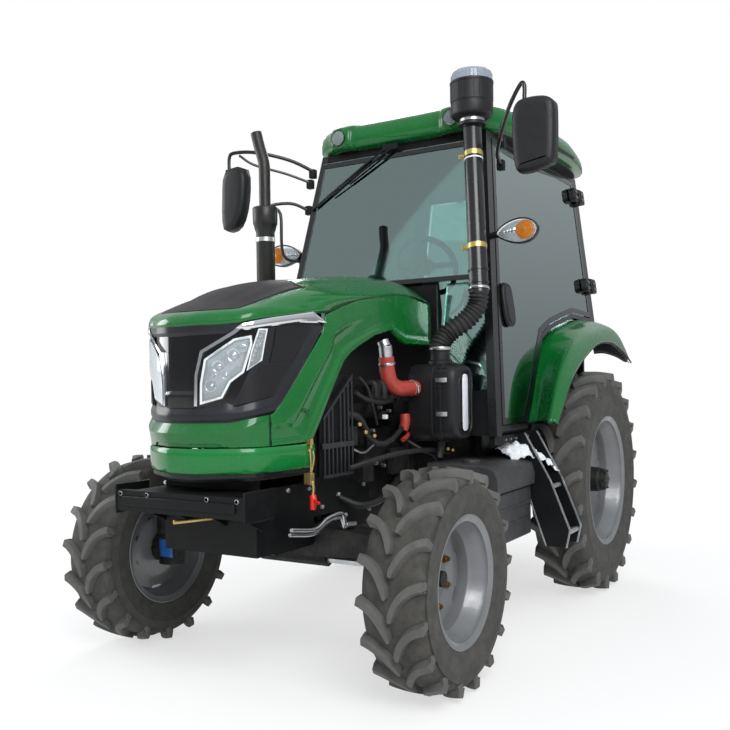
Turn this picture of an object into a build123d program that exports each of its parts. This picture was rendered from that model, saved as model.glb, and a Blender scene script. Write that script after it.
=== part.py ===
from build123d import *
from collections import namedtuple
from math import asin, cos, degrees, hypot, pi, sin, sqrt
import os

os.makedirs("parts", exist_ok=True)

# Farm tractor with a closed cab and four-wheel drive, in millimetres.
# +X is the tractor's left, -Y is forwards and +Z is up.
# Stations along the tractor are measured from the rear axle and are negative ahead of it.

# ---- Driving dimensions ----
wheelbase = 2100
nose_reach = 692  # front axle to the weight carrier's face
front_reach = wheelbase + nose_reach
rear_reach = 1000  # rear axle to the lower links' ball ends
rear_axle_y = (front_reach - rear_reach) / 2  # the origin is on the ground, midway along
tub_half = 630  # half width of the cab's tub between the rear wheels
wheel_gap = 40  # between the tub and a rear tyre
rear_tyre_width = 310
half_track = tub_half + wheel_gap + rear_tyre_width / 2
front_station = -wheelbase

running_gap = 5  # between pieces that move past each other
seat_gap = 0.3  # between curved pieces that rest on each other
shaft_gap = 0.05  # radial clearance of a shaft in its hole

Wheel = namedtuple(
    "Wheel",
    "station radius width crown_half bulge_radius bead_half bead_radius flange_radius"
    " lugs lug_height lug_width lug_run shoulder_radius centre_gap"
    " disc_x disc_thickness disc_corners hub_radius hub_inner_x hub_outer_x shaft_radius",
)
front_wheel = Wheel(
    station=front_station, radius=469, width=288, crown_half=118, bulge_radius=372,
    bead_half=104, bead_radius=254, flange_radius=278,
    lugs=16, lug_height=30, lug_width=36, lug_run=118, shoulder_radius=405, centre_gap=6,
    disc_x=-52, disc_thickness=12, disc_corners=12, hub_radius=88, hub_inner_x=-62, hub_outer_x=18,
    shaft_radius=34,
)
rear_wheel = Wheel(
    station=0, radius=670, width=rear_tyre_width, crown_half=128, bulge_radius=545,
    bead_half=118, bead_radius=372, flange_radius=395,
    lugs=19, lug_height=36, lug_width=42, lug_run=160, shoulder_radius=592, centre_gap=6,
    disc_x=-40, disc_thickness=14, disc_corners=8, hub_radius=105, hub_inner_x=-130, hub_outer_x=40,
    shaft_radius=42,
)
rim_wall = 8
rim_lip = 4
hub_sides = 12
bar_sides = 10  # flats of a plain bar or pipe
pin_sides = 8
bowl_sides = 16

# Front axle
beam_z = 590  # centre of the axle beam
beam_half_height = 70
beam_half_depth = 75
kingpin_x = half_track - 149
kingpin_radius = 28
knuckle_top_z = 545
knuckle_radius = 74
steering_arm = 120  # kingpin to tie rod eye
steering_rod_z = 470
steering_rod_radius = 18

kingpin_reach = 110
beam_end = kingpin_x - 116
arm_bottom = 500
arm_thickness = 24
arm_inset = 55
steering_barrel = 190
axle_end_x = 130

# Engine, gearbox and frame
sump_z = 560
head_z = 1060
rocker_z = 1180
bell_station = -1150
arch_z = 700
engine_half = 165
engine_front = front_station + 90
engine_rear = bell_station - 80
crank_z = 720
gearbox_half = 190
gearbox_bottom = 430
frame_half = 250
frame_plate = 40
frame_top = 862
frame_bottom = 560
beam_back = front_station + 140  # the frame's notch over the beam
beam_front = front_station - 140
nose_station = front_station - 668

# Bonnet
bonnet_rear = -1200
bonnet_base = 1000
bonnet_half = 350
bonnet_wall = 12
panel_half = 200
lead_station = nose_station + 68
lead_z = 1560
hinge_y = -1180
hinge_z = 1780
band_bottom = 940
band_top = 1038
nose_ridge = 1112
nose_top = 1152
# half outline of the nose from above, with stations behind nose_station
nose_half = [(0, 14), (238, 98), (316, 164), (345, 430)]
# headlamp outlines across the nose, as (x, height)
lamp_left = [(132, 1290), (150, 1225), (262, 1290), (285, 1400), (270, 1440), (150, 1410)]
lamp_outlines = [lamp_left, [(-x, z) for x, z in lamp_left]]
hinge_pin = 8
exhaust_x = -430
exhaust_y = bell_station - 500
cleaner_centre = (-1322, 1192)
inlet_x = 505
inlet_z = 1450
waist_z = 1700
hinge_heights = (2550, 1930)
link_x = 301
link_pin = 14
lift_y = 180
lift_z = 915
lift_pin = 22
lift_reach = 240
lift_foot = (640, 505)
rod_pin = 10
ball_hole = 14.4
pto_radius = 17.5
drawbar_hole = 16
top_link_hole = 12.85
top_link_pin = 12.5
top_link_y = 315
top_link_z = 830
top_link_reach = 450
lower_link_y = 230
lower_link_z = 470
pipe_foot = (628, -1190, 1780)
pipe_head = (528, -1020, 2690)
BonnetSection = namedtuple("BonnetSection", "station crown panel_edge seam")
bonnet_sections = [
    BonnetSection(bonnet_rear, 1860, 1812, 1706),
    BonnetSection(bonnet_rear - 344, 1847, 1800, 1733),
    BonnetSection(front_station + 192, 1803, 1758, 1690),
    BonnetSection(front_station - 235, 1741, 1668, 1588),
    BonnetSection(lead_station, 1600, 1566, 1500),
    BonnetSection(lead_station - 100, 1560, 1530, 1465),
]

# Cab
cab_lean = 0.125  # inward lean of the sides, per unit of height
cab_toe = 0.025  # widening towards the rear, per unit of length
cab_datum_x = tub_half + 270  # half width where the side planes meet the ground at the rear axle
pillar_slope = 0.229  # rearward slope of the front pillars, per unit of height
pillar_foot = (-1200, 1090)
pillar_width = 62
cab_wall = 45
glass = 8
hinge_station = 560
hinge_offset = 16
hinge_half = 24
hinge_ear = 22
hinge_play = 4
hinge_barrel = 15
hinge_leaf = [
    (hinge_station - 120, 30), (hinge_station - 6, 24), (hinge_station - 6, -24), (hinge_station - 120, -30),
]
rear_wall_station = 640
window_hinge_y = rear_wall_station + 17
window_hinge_z = 2655
window_eye = 12
cab_floor_z = 1010
cab_sill_z = 1065
roof_bottom = 2690
roof_top = 2848
# left half of the roof's outline, as (x, station)
roof_plan = [
    (286, -925), (312, -946), (418, -946), (470, -905), (600, -800), (660, -560), (698, -100), (698, 180),
    (650, 600), (540, 712),
]
roof_steps = [
    (roof_bottom, 70), (roof_bottom + 50, 0), (roof_bottom + 120, 0), (roof_top - 13, 30), (roof_top, 110),
]
pod_radius = 64
pod_station = -944
lamp_x = 371
lamp_radius = 44
lamp_z = 2762
windscreen = [(-618, 1840), (618, 1840), (526, 2640), (-526, 2640)]
side_pane = [(372, 1247), (720, 1247), (680, 1830), (372, 1830)]
window_foot = 640
window_head = 530

# Fender
fender_wall = 10
fender_inner_x = half_track - 113
fender_fold_x = half_track + 43
fender_outer_x = half_track + 80
fender_top = 1676


# ---- Planes ----
def side(x):
    """Plane across the tractor at x: its own x is the station, its y is the height."""
    return Plane(origin=(x, rear_axle_y, 0), x_dir=(0, 1, 0), z_dir=(1, 0, 0))


def level(z):
    """Plane at height z: its own x is across the tractor, its y is the station."""
    return Plane(origin=(0, rear_axle_y, z), x_dir=(1, 0, 0), z_dir=(0, 0, 1))


def front(station):
    """Plane facing forwards at a station: its own x is across the tractor, its y is the height."""
    return Plane(origin=(0, rear_axle_y + station, 0), x_dir=(1, 0, 0), z_dir=(0, -1, 0))


def at(x, station, z):
    """A point from its station."""
    return (x, rear_axle_y + station, z)


# ---- Forms that repeat ----
def prism(plane, points, amount, both=False, mode=Mode.ADD):
    """A straight prism raised from the outline's corners."""
    with BuildSketch(plane) as outline:
        with BuildLine():
            Polyline(*points, close=True)
        make_face()
    extrude(outline.sketch, amount=amount, both=both, mode=mode)


def block(low, high, mode=Mode.ADD):
    """A box between two corners, each as (x, station, z)."""
    size = [high[i] - low[i] for i in range(3)]
    middle = [(high[i] + low[i]) / 2 for i in range(3)]
    with Locations(at(*middle)):
        Box(*size, mode=mode)


def rod(start, end, radius, mode=Mode.ADD, sides=bar_sides):
    """A bar between two points, each as (x, station, z): on flats, or round where sides is 0."""
    a = Vector(*at(*start))
    b = Vector(*at(*end))
    with BuildSketch(Plane(origin=a, z_dir=b - a)) as section:
        if sides:
            RegularPolygon(radius, sides)
        else:
            Circle(radius)
    extrude(section.sketch, amount=(b - a).length, mode=mode)


def pipe(points, radius, sides=bar_sides):
    """A pipe on flats with mitred bends through points given as (x, station, z)."""
    with BuildLine() as route:
        Polyline(*[at(*p) for p in points])
    with BuildSketch(Plane(origin=route.line @ 0, z_dir=route.line % 0)) as section:
        RegularPolygon(radius, sides)
    sweep(section.sketch, path=route.line, transition=Transition.RIGHT)


def bend(start, corner, end, radius, steps=4):
    """The points of a rounded corner, spread over so many mitres."""
    a, b, c = (Vector(*p) for p in (start, corner, end))
    first = b + (a - b).normalized() * radius
    last = b + (c - b).normalized() * radius
    curve = [i / steps for i in range(steps + 1)]
    return [tuple(first * (1 - t) ** 2 + b * 2 * t * (1 - t) + last * t**2) for t in curve]


def slot(width, height, steps=5):
    """An upright outline with round ends on flats, about (0, 0)."""
    r = width / 2
    turns = [pi * i / steps for i in range(steps + 1)]
    top = [(r * cos(t), height / 2 - r + r * sin(t)) for t in turns]
    return top + [(-x, -y) for x, y in top]


def skin(rows):
    """A solid through rows of as many corners each, with flat facets between them and at both ends."""
    facets = [Face(Wire.make_polygon(row, close=True)) for row in (rows[0], rows[-1])]
    for here, there in zip(rows, rows[1:]):
        for j in range(len(here)):
            for corners in ((here[j - 1], here[j], there[j]), (here[j - 1], there[j], there[j - 1])):
                if min(
                    (Vector(*p) - Vector(*q)).length for p, q in zip(corners, corners[1:] + corners[:1])
                ) > 0.01:
                    facets.append(Face(Wire.make_polygon(corners, close=True)))
    return Solid(Shell(facets))


def plated(upper, lower):
    """A sheet between two like nets of corners. Both faces are cut along the same diagonals."""
    edges = [([row[end] for row in upper], [row[end] for row in lower]) for end in (0, -1)]
    edges += [(upper[end], lower[end]) for end in (0, -1)]
    facets = []
    for here, there in [*zip(upper, upper[1:]), *zip(lower, lower[1:]), *edges]:
        for j in range(len(here) - 1):
            facets.append(Face(Wire.make_polygon([here[j], here[j + 1], there[j + 1]], close=True)))
            facets.append(Face(Wire.make_polygon([here[j], there[j + 1], there[j]], close=True)))
    return Solid(Shell(facets))


def moved(points, dx, dy):
    """A flat outline, shifted."""
    return [(x + dx, y + dy) for x, y in points]


# ---- Wheels ----
def ring(centre, profile, sides):
    """A ring on flats about the axle. Its profile's corners, as (x, radius), turn in equal steps."""
    turns = [2 * pi * i / sides for i in range(sides + 1)]
    corners = [[centre + Vector(x, r * sin(t), r * cos(t)) for x, r in profile] for t in turns]
    flats = []
    for here, there in zip(corners, corners[1:]):
        for j in range(len(profile)):
            quad = Wire.make_polygon([here[j - 1], here[j], there[j], there[j - 1]], close=True)
            flats.append(Face(quad))
    return Solid(Shell(flats))


def build_tyre(w):
    """A tyre of the left side with its chevron lugs. Its casing has two flats to each lug of one side."""
    centre = Vector(*at(half_track, w.station, w.radius))
    sides = 2 * w.lugs
    crown = w.radius - w.lug_height
    bead = w.bead_radius + seat_gap
    wall = w.width / 2
    run = w.lug_run / 2
    top = sqrt(w.radius**2 - run**2)
    depth = top - w.shoulder_radius
    slant = 1.25 * w.lug_width
    lugs = []
    for hand, start in ((1, 0), (-1, 0.5)):
        inner = hand * w.centre_gap
        outer = hand * wall
        for i in range(w.lugs):
            turn = degrees(asin(run / w.radius)) + 360 * (i + start) / w.lugs
            radial = Vector(0, 0, -1).rotate(Axis.X, turn)
            face = Plane(origin=centre + radial * top, x_dir=(1, 0, 0), z_dir=radial)
            with BuildSketch(face, mode=Mode.PRIVATE) as plan:
                with BuildLine():
                    Polyline(
                        (inner, -run), (inner, slant - run), (outer, run), (outer, run - slant),
                        close=True,
                    )
                make_face()
            lugs.append(extrude(plan.sketch, amount=-depth, mode=Mode.PRIVATE))
    casing = ring(centre, [
        (-w.bead_half, bead), (-wall, w.bulge_radius), (-w.crown_half, crown),
        (w.crown_half, crown), (wall, w.bulge_radius), (w.bead_half, bead),
    ], sides)
    with BuildPart() as tyre:
        add(casing)
        add(lugs)
    return tyre


def build_rim(w):
    """A rim of the left side with its disc and hub. It has one flat to two of the tyre's."""
    centre = Vector(*at(half_track, w.station, w.radius))
    sides = w.lugs
    flare = (w.width / 2 - w.bead_half) / (w.bulge_radius - w.bead_radius)
    bead = w.bead_half + seat_gap
    edge = bead + flare * (w.flange_radius - w.bead_radius)
    inner = w.bead_radius - rim_wall
    lip = w.flange_radius - rim_lip
    hub = Plane(origin=centre + Vector(w.hub_inner_x, 0, 0), x_dir=(0, 1, 0), z_dir=(1, 0, 0))
    disc = Plane(origin=centre + Vector(w.disc_x, 0, 0), x_dir=(0, 1, 0), z_dir=(1, 0, 0))
    barrel = ring(centre, [
        (-edge, w.flange_radius), (-bead, w.bead_radius), (bead, w.bead_radius), (edge, w.flange_radius),
        (edge, lip), (bead, inner), (-bead, inner), (-edge, lip),
    ], sides)
    with BuildPart() as rim:
        add(barrel)
        with BuildSketch(disc):
            RegularPolygon(inner - 4, w.disc_corners)
        extrude(amount=w.disc_thickness)
        with BuildSketch(hub):
            RegularPolygon(w.hub_radius, hub_sides)
        extrude(amount=w.hub_outer_x - w.hub_inner_x)
        with BuildSketch(hub):
            Circle(w.shaft_radius + shaft_gap)
        extrude(amount=w.hub_outer_x - w.hub_inner_x, mode=Mode.SUBTRACT)
    return rim


for end, wheel in (("front", front_wheel), ("rear", rear_wheel)):
    for kind, build in (("tyre", build_tyre), ("rim", build_rim)):
        left = build(wheel)
        left.part.label = f"{end}_{kind}_left"
        export_step(left.part, f"parts/{end}_{kind}_left.step")
        with BuildPart() as right:
            mirror(left.part, about=Plane.YZ)
        right.part.label = f"{end}_{kind}_right"
        export_step(right.part, f"parts/{end}_{kind}_right.step")


# ---- Front axle, its knuckles and the steering rod ----
knuckle_gap_z = knuckle_top_z + running_gap  # underside of the beam's ends
hub_face = half_track + front_wheel.hub_inner_x - running_gap
with BuildPart() as front_axle:
    low = beam_z - beam_half_height
    high = beam_z + beam_half_height
    prism(front(front_station + beam_half_depth), [
        (-beam_end, low + 20), (-frame_half, low), (frame_half, low), (beam_end, low + 20),
        (beam_end, high - 25), (frame_half, high), (-frame_half, high), (-beam_end, high - 25),
    ], 2 * beam_half_depth)
    for hand in (1, -1):
        with BuildSketch(level(knuckle_gap_z)):
            with Locations((hand * kingpin_x, front_station)):
                RegularPolygon(knuckle_radius + 8, 12)
            with Locations((hand * (kingpin_x + beam_end) / 2, front_station)):
                Rectangle(kingpin_x - beam_end, 2 * beam_half_depth - 20)
        extrude(amount=high - knuckle_gap_z)
        rod((hand * kingpin_x, front_station, knuckle_gap_z - kingpin_reach), (hand * kingpin_x, front_station, knuckle_gap_z),
            kingpin_radius)
    cylinder_y = front_station + steering_arm
    rod((-steering_barrel, cylinder_y, steering_rod_z), (steering_barrel, cylinder_y, steering_rod_z), 36)
    rod((-steering_barrel, cylinder_y, steering_rod_z), (steering_barrel, cylinder_y, steering_rod_z),
        steering_rod_radius + shaft_gap, Mode.SUBTRACT)
    for x in (-steering_barrel + 20, steering_barrel - 20):
        block(
            (x - 12, front_station + beam_half_depth - 10, steering_rod_z + 20),
            (x + 12, cylinder_y + 20, low + 50),
        )
front_axle.part.label = "front_axle"
export_step(front_axle.part, "parts/front_axle.step")

with BuildPart() as knuckle_left:
    body_bottom = front_wheel.radius - knuckle_radius
    with BuildSketch(level(body_bottom)):
        with Locations((kingpin_x, front_station)):
            RegularPolygon(knuckle_radius, 12)
    extrude(amount=knuckle_top_z - body_bottom)
    with BuildSketch(side(kingpin_x)):
        with Locations((front_station, front_wheel.radius)):
            RegularPolygon(knuckle_radius, 12)
    extrude(amount=hub_face - kingpin_x)
    rod((kingpin_x, front_station, front_wheel.radius), (half_track + front_wheel.hub_outer_x, front_station, front_wheel.radius),
        front_wheel.shaft_radius, sides=bowl_sides)
    with Locations(at(kingpin_x, front_station, knuckle_top_z - kingpin_reach / 2)):
        Cylinder(kingpin_radius + shaft_gap, kingpin_reach, mode=Mode.SUBTRACT)
    prism(level(arm_bottom), [
        (kingpin_x - 34, front_station + 40), (kingpin_x + 34, front_station + 40),
        (kingpin_x - arm_inset + 24, front_station + steering_arm + 28),
        (kingpin_x - arm_inset - 24, front_station + steering_arm + 28),
    ], arm_thickness)
knuckle_left.part.label = "knuckle_left"
export_step(knuckle_left.part, "parts/knuckle_left.step")
with BuildPart() as knuckle_right:
    mirror(knuckle_left.part, about=Plane.YZ)
knuckle_right.part.label = "knuckle_right"
export_step(knuckle_right.part, "parts/knuckle_right.step")

with BuildPart() as steering_rod:
    eye_x = kingpin_x - arm_inset
    rod((-eye_x, cylinder_y, steering_rod_z), (eye_x, cylinder_y, steering_rod_z), steering_rod_radius)
    for hand in (1, -1):
        with Locations(at(hand * eye_x, cylinder_y, steering_rod_z)):
            Box(44, 40, 2 * (arm_bottom - running_gap - steering_rod_z))
steering_rod.part.label = "steering_rod"
export_step(steering_rod.part, "parts/steering_rod.step")

# ---- Engine, gearbox and rear axle ----
with BuildPart() as engine:
    block((-140, engine_front + 60, sump_z), (140, engine_rear - 20, sump_z + 150))
    block((-engine_half, engine_front + 30, sump_z + 140), (engine_half, engine_rear, head_z))
    block((-125, engine_front + 50, head_z), (125, engine_rear - 30, rocker_z))
    prism(front(engine_rear - 60), [(-95, rocker_z), (95, rocker_z), (70, rocker_z + 95), (-70, rocker_z + 95)],
          engine_rear - engine_front - 140)
    block((-150, engine_front, crank_z - 110), (150, engine_front + 32, rocker_z - 20))
    # flywheel housing
    with BuildSketch(front(engine_rear)):
        with Locations((0, crank_z)):
            RegularPolygon(235, 12)
    extrude(amount=-(bell_station - engine_rear))
    rod((0, engine_front + 10, crank_z), (0, engine_front - 50, crank_z), 52)
    block(
        (-frame_half + frame_plate, engine_front + 40, 665),
        (frame_half - frame_plate, engine_front + 290, 790),
    )
    # injection pump, filters and intake side on the left, manifold and starter on the right
    middle = (engine_front + engine_rear) / 2
    block((engine_half - 5, middle - 140, 880), (engine_half + 95, middle + 140, 985))
    rod((engine_half + 55, middle + 140, 930), (engine_half + 55, middle + 220, 930), 58)
    for station in (engine_rear - 120, engine_rear - 60):
        rod((engine_half + 70, station, 800), (engine_half + 70, station, 960), 42)
    block((engine_half - 10, engine_rear - 150, 960), (engine_half + 110, engine_rear - 20, 1000))
    block((120, engine_front + 130, 1115), (190, engine_rear - 100, 1190))
    block((-215, engine_front + 130, 1085), (-120, engine_rear - 100, 1160))
    rod((-215, engine_rear - 70, 770), (-215, engine_rear - 330, 770), 58)
    rod((-215, engine_front + 120, 1010), (-215, engine_front + 260, 1010), 66)
    block((-215, engine_front + 110, 950), (-140, engine_front + 260, 1000))
engine.part.label = "engine"
export_step(engine.part, "parts/engine.step")

with BuildPart() as transmission:
    prism(side(-gearbox_half), [
        (bell_station, 500), (-820, gearbox_bottom), (-260, gearbox_bottom), (-260, 930), (-820, 930),
        (bell_station, 975),
    ], 2 * gearbox_half)
    prism(side(-235), [
        (-260, 395), (210, 395), (270, 470), (270, 900), (200, 960), (-260, 960),
    ], 470)
    for hand in (1, -1):
        # cab mounts, bracket of the tank or battery box, pins of the lift arm and lower link
        block((min(hand * 190, hand * 300), -900, 860), (max(hand * 190, hand * 300), -820, cab_floor_z))
        block((min(hand * 190, hand * 430), -1110, 600), (max(hand * 190, hand * 430), -1060, 650))
        rod((hand * 235, lift_y, lift_z), (hand * 272, lift_y, lift_z), lift_pin)
        rod(
            (hand * 235, lower_link_y, lower_link_z), (hand * (link_x + 32), lower_link_y, lower_link_z),
            link_pin,
        )
transmission.part.label = "transmission"
export_step(transmission.part, "parts/transmission.step")

with BuildPart() as rear_axle:
    for hand in (1, -1):
        with BuildSketch(side(hand * 235)):
            with Locations((0, rear_wheel.radius)):
                RegularPolygon(185, 16)
        extrude(amount=hand * 110)
        with BuildSketch(side(hand * 340)):
            with Locations((0, rear_wheel.radius)):
                RegularPolygon(115, 16)
        extrude(amount=hand * (half_track + rear_wheel.hub_inner_x - running_gap - 340))
        block((min(hand * 400, hand * 480), -40, 760), (max(hand * 400, hand * 480), 40, cab_floor_z))
        rod((hand * 600, 0, rear_wheel.radius), (hand * (half_track + axle_end_x), 0, rear_wheel.radius),
            rear_wheel.shaft_radius, sides=bowl_sides)
rear_axle.part.label = "rear_axle"
export_step(rear_axle.part, "parts/rear_axle.step")

def nose_outline(grow, shift):
    """The nose's outline at the band's top, seen from above, wider by grow and moved along by shift."""
    half = [(x + grow if x else 0, nose_station + y + shift) for x, y in nose_half]
    return half + [(-x, y) for x, y in reversed(half[1:])]


with BuildPart() as front_frame:
    for hand in (1, -1):
        inner = hand * (frame_half - frame_plate) if hand > 0 else -frame_half
        prism(side(inner), [
            (front_station - 520, frame_top), (front_station - 520, 760),
            (front_station - 380, frame_bottom + 20),
            (front_station - 210, frame_bottom + 20), (beam_front, arch_z), (beam_back, arch_z),
            (beam_back + 70, frame_bottom + 20), (beam_back + 200, frame_bottom + 40), (beam_back + 260, 660),
            (beam_back + 260, 800), (beam_back, frame_top),
        ], frame_plate)
    block(
        (-frame_half, front_station - 500, frame_bottom + 30),
        (frame_half, front_station - 370, frame_top - 30),
    )
    block(
        (-frame_half, front_station - 220, frame_bottom + 20),
        (frame_half, front_station - beam_half_depth - 12, arch_z),
    )
    block((-frame_half, front_station - 380, frame_top - 40), (frame_half, front_station + 40, frame_top))
    # shelf under the nose band
    block((-240, front_station - 500, frame_top), (240, front_station - 460, band_bottom - 24))
    prism(level(band_bottom - 24), nose_outline(-14, -8), 24)
    # pivot pin of the beam
    rod((0, front_station - beam_half_depth - 60, beam_z), (0, front_station - beam_half_depth, beam_z), 45)
front_frame.part.label = "front_frame"
export_step(front_frame.part, "parts/front_frame.step")

with BuildPart() as weight_carrier:
    prism(level(775), [
        (-350, -front_reach), (350, -front_reach), (350, 28 - front_reach), (250, 28 - front_reach),
        (250, 172 - front_reach), (-250, 172 - front_reach), (-250, 28 - front_reach),
        (-350, 28 - front_reach),
    ], 87)
    block((-222, 28 - front_reach, 790), (222, 152 - front_reach, 850), Mode.SUBTRACT)
weight_carrier.part.label = "weight_carrier"
export_step(weight_carrier.part, "parts/weight_carrier.step")

with BuildPart() as radiator:
    block((-290, front_station - 100, frame_top), (290, front_station + 20, 1470))
    with BuildSketch(front(front_station + 20)):
        with Locations((0, 1150)):
            RegularPolygon(262, bowl_sides)
            RegularPolygon(240, bowl_sides, mode=Mode.SUBTRACT)
    extrude(amount=-60)
    # slatted side screens with a cross bar
    for hand in (1, -1):
        for i in range(6):
            near = front_station - 220 + 34 * i
            block((min(hand * 292, hand * 304), near, 880), (max(hand * 292, hand * 304), near + 16, 1145))
        for z in (frame_top, 1000, 1130):
            block(
                (min(hand * 284, hand * 300), front_station - 230, z),
                (max(hand * 284, hand * 300), front_station - 20, z + 22),
            )
radiator.part.label = "radiator"
export_step(radiator.part, "parts/radiator.step")


# ---- Bonnet ----
nose_plan = [
    (74, nose_station), (190, nose_station + 56), (289, nose_station + 139), (330, nose_station + 328),
    (bonnet_half, nose_station + 588), (bonnet_half, bell_station),
]
# lower edge of the bonnet's sides and mask, as (station, height)
skirt_arch = [
    (bonnet_rear + 100, 1479), (bonnet_rear - 291, 1483), (bonnet_rear - 436, 1548),
    (front_station + 150, 1461),
    (front_station + 17, 1389), (front_station - 111, 1222),
]
skirt_nose = [
    (front_station - 228, bonnet_base + 47), (front_station - 400, 1130), (front_station - 529, 1159),
    (front_station - 800, 1170),
]
skirt = [(bonnet_rear + 100, 900), *skirt_arch, *skirt_nose, (front_station - 800, 900)]
mask_zone = [
    (front_station - 65, 1565), (front_station - 424, 1186), (front_station - 400, 1130),
    (front_station - 529, 1100),
    (front_station - 800, 1100), (front_station - 800, 1408),
]


def bonnet_body(inset):
    """The bonnet's outer form, or with an inset the hollow within its wall."""
    half = bonnet_half - inset
    panel = panel_half - inset / 2
    rows = []
    for row in bonnet_sections:
        reach = rear_axle_y + row.station + (2 * inset if row is bonnet_sections[0] else 0)
        right = [
            (0.5 * panel, (row.crown * 3 + row.panel_edge) / 4), (panel, row.panel_edge), (half, row.seam),
            (half, bonnet_base + inset),
        ]
        section = [(0, row.crown)] + right + [(-x, z) for x, z in reversed(right)]
        rows.append([(x, reach, z - inset) for x, z in section])
    with BuildPart(mode=Mode.PRIVATE) as body:
        add(skin(rows))
        with BuildSketch(level(bonnet_base)):
            with BuildLine():
                Polyline(*nose_plan, *[(-x, y) for x, y in reversed(nose_plan)], close=True)
            make_face()
            if inset:
                offset(amount=-inset, kind=Kind.INTERSECTION, mode=Mode.REPLACE)
        extrude(amount=1000, mode=Mode.INTERSECT)
        prism(side(-400), [
            (nose_station + inset, 1436), (lead_station + inset, lead_z), (lead_station + inset, 1900),
            (nose_station - 200, 1900), (nose_station - 200, 1436),
        ], 800, mode=Mode.SUBTRACT)
        if not inset:
            prism(side(-400), skirt, 800, mode=Mode.SUBTRACT)
    return body.part


outer = bonnet_body(0)
hollow = bonnet_body(bonnet_wall)
with BuildPart() as bonnet:
    add(outer)
    add(hollow, mode=Mode.SUBTRACT)
    block((-400, bonnet_rear, 900), (400, bonnet_rear + 100, 1950), Mode.SUBTRACT)
    prism(side(-400), mask_zone, 800, mode=Mode.SUBTRACT)
    for x in (-160, 140):
        prism(
            side(x),
            [(bonnet_rear - 60, 1815), (bonnet_rear - 2, 1815), (hinge_y + 18, hinge_z + 18), (hinge_y + 18, hinge_z - 18), (hinge_y - 18, hinge_z - 18)],
            20,
        )
        rod(
            (x - 1, hinge_y, hinge_z), (x + 21, hinge_y, hinge_z), hinge_pin + shaft_gap, Mode.SUBTRACT,
            sides=0,
        )
bonnet.part.label = "bonnet"
export_step(bonnet.part, "parts/bonnet.step")

with BuildPart() as bonnet_mask:
    add(outer)
    add(hollow, mode=Mode.SUBTRACT)
    prism(side(-400), mask_zone, 800, mode=Mode.INTERSECT)
    for lamp in lamp_outlines:
        prism(front(lead_station + 300), lamp, 400, mode=Mode.SUBTRACT)
bonnet_mask.part.label = "bonnet_mask"
export_step(bonnet_mask.part, "parts/bonnet_mask.step")

with BuildPart() as headlamps:
    add(outer)
    add(bonnet_body(30), mode=Mode.SUBTRACT)
    with BuildPart(mode=Mode.PRIVATE) as pockets:
        for lamp in lamp_outlines:
            prism(front(lead_station + 300), lamp, 400)
    add(pockets.part, mode=Mode.INTERSECT)
headlamps.part.label = "headlamps"
export_step(headlamps.part, "parts/headlamps.step")

def nose_rows(levels, inset):
    """Rows of the nose's skin, from levels given as (height, widening, shift along)."""
    rows = []
    for z, grow, shift in levels:
        rows.append([at(x, y, z) for x, y in nose_outline(grow - inset, shift + inset)])
    return rows


nose_back = nose_station + 428
latch_x = nose_half[3][0] - 3.3
latch_y = nose_back - 42
with BuildPart() as nose_band:
    add(skin(nose_rows([(band_bottom, -3, 2), (band_top, 0, 0)], 0)))
    add(skin(nose_rows([(band_bottom - 1, -3, 2), (band_top + 1, 0, 0)], bonnet_wall)), mode=Mode.SUBTRACT)
    block((-400, nose_back, 900), (400, nose_back + 40, 1200), Mode.SUBTRACT)
nose_band.part.label = "nose_band"
export_step(nose_band.part, "parts/nose_band.step")

with BuildPart() as bonnet_nose:
    low = band_top + running_gap
    add(skin(nose_rows([(low, 2, -2), (nose_ridge, 18, -16), (nose_top + 60, -66, 12)], 0)))
    add(
        skin(nose_rows([(low - 1, 2, -2), (nose_ridge, 18, -16), (nose_top + 61, -66, 12)], bonnet_wall)),
        mode=Mode.SUBTRACT,
    )
    block((-400, nose_back - 10, 900), (400, nose_back + 60, 1300), Mode.SUBTRACT)
    prism(
        side(-400), [*moved(skirt_nose, 0, -0.5), (front_station - 800, 1400), (front_station - 100, 1400)],
        800, mode=Mode.SUBTRACT,
    )
bonnet_nose.part.label = "bonnet_nose"
export_step(bonnet_nose.part, "parts/bonnet_nose.step")

# ---- Air intake and exhaust ----
with BuildPart() as air_cleaner:
    prism(side(330), moved(slot(250, 400), *cleaner_centre), 245)
    prism(side(575), moved(slot(228, 378), *cleaner_centre), 25)
    rod((inlet_x, cleaner_centre[0], 1380), (inlet_x, cleaner_centre[0], inlet_z), 52)
    block((430, -1370, 880), (500, -1290, 1000))
air_cleaner.part.label = "air_cleaner"
export_step(air_cleaner.part, "parts/air_cleaner.step")

with BuildPart() as intake_pipe:
    elbow = (inlet_x, cleaner_centre[0], 1570)
    knee = (620, -1215, 1690)
    route = [(inlet_x, cleaner_centre[0], inlet_z)]
    route += bend(route[0], elbow, knee, 80)
    route += bend(elbow, knee, pipe_foot, 60)
    pipe(route + [(pipe_head[0] - 6, pipe_head[1] + 10, pipe_head[2] + 50)], 50)
    block((400, -1200, pipe_head[2]), (700, -800, pipe_head[2] + 100), Mode.SUBTRACT)
intake_pipe.part.label = "intake_pipe"
export_step(intake_pipe.part, "parts/intake_pipe.step")

with BuildPart() as precleaner:
    for radius, low, high in ((70, 0, 70), (117, 60, 230), (104, 230, 272), (76, 272, 295)):
        with BuildSketch(level(pipe_head[2] + low)):
            with Locations(pipe_head[:2]):
                RegularPolygon(radius, bowl_sides)
        extrude(amount=high - low)
precleaner.part.label = "precleaner"
export_step(precleaner.part, "parts/precleaner.step")

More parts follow.
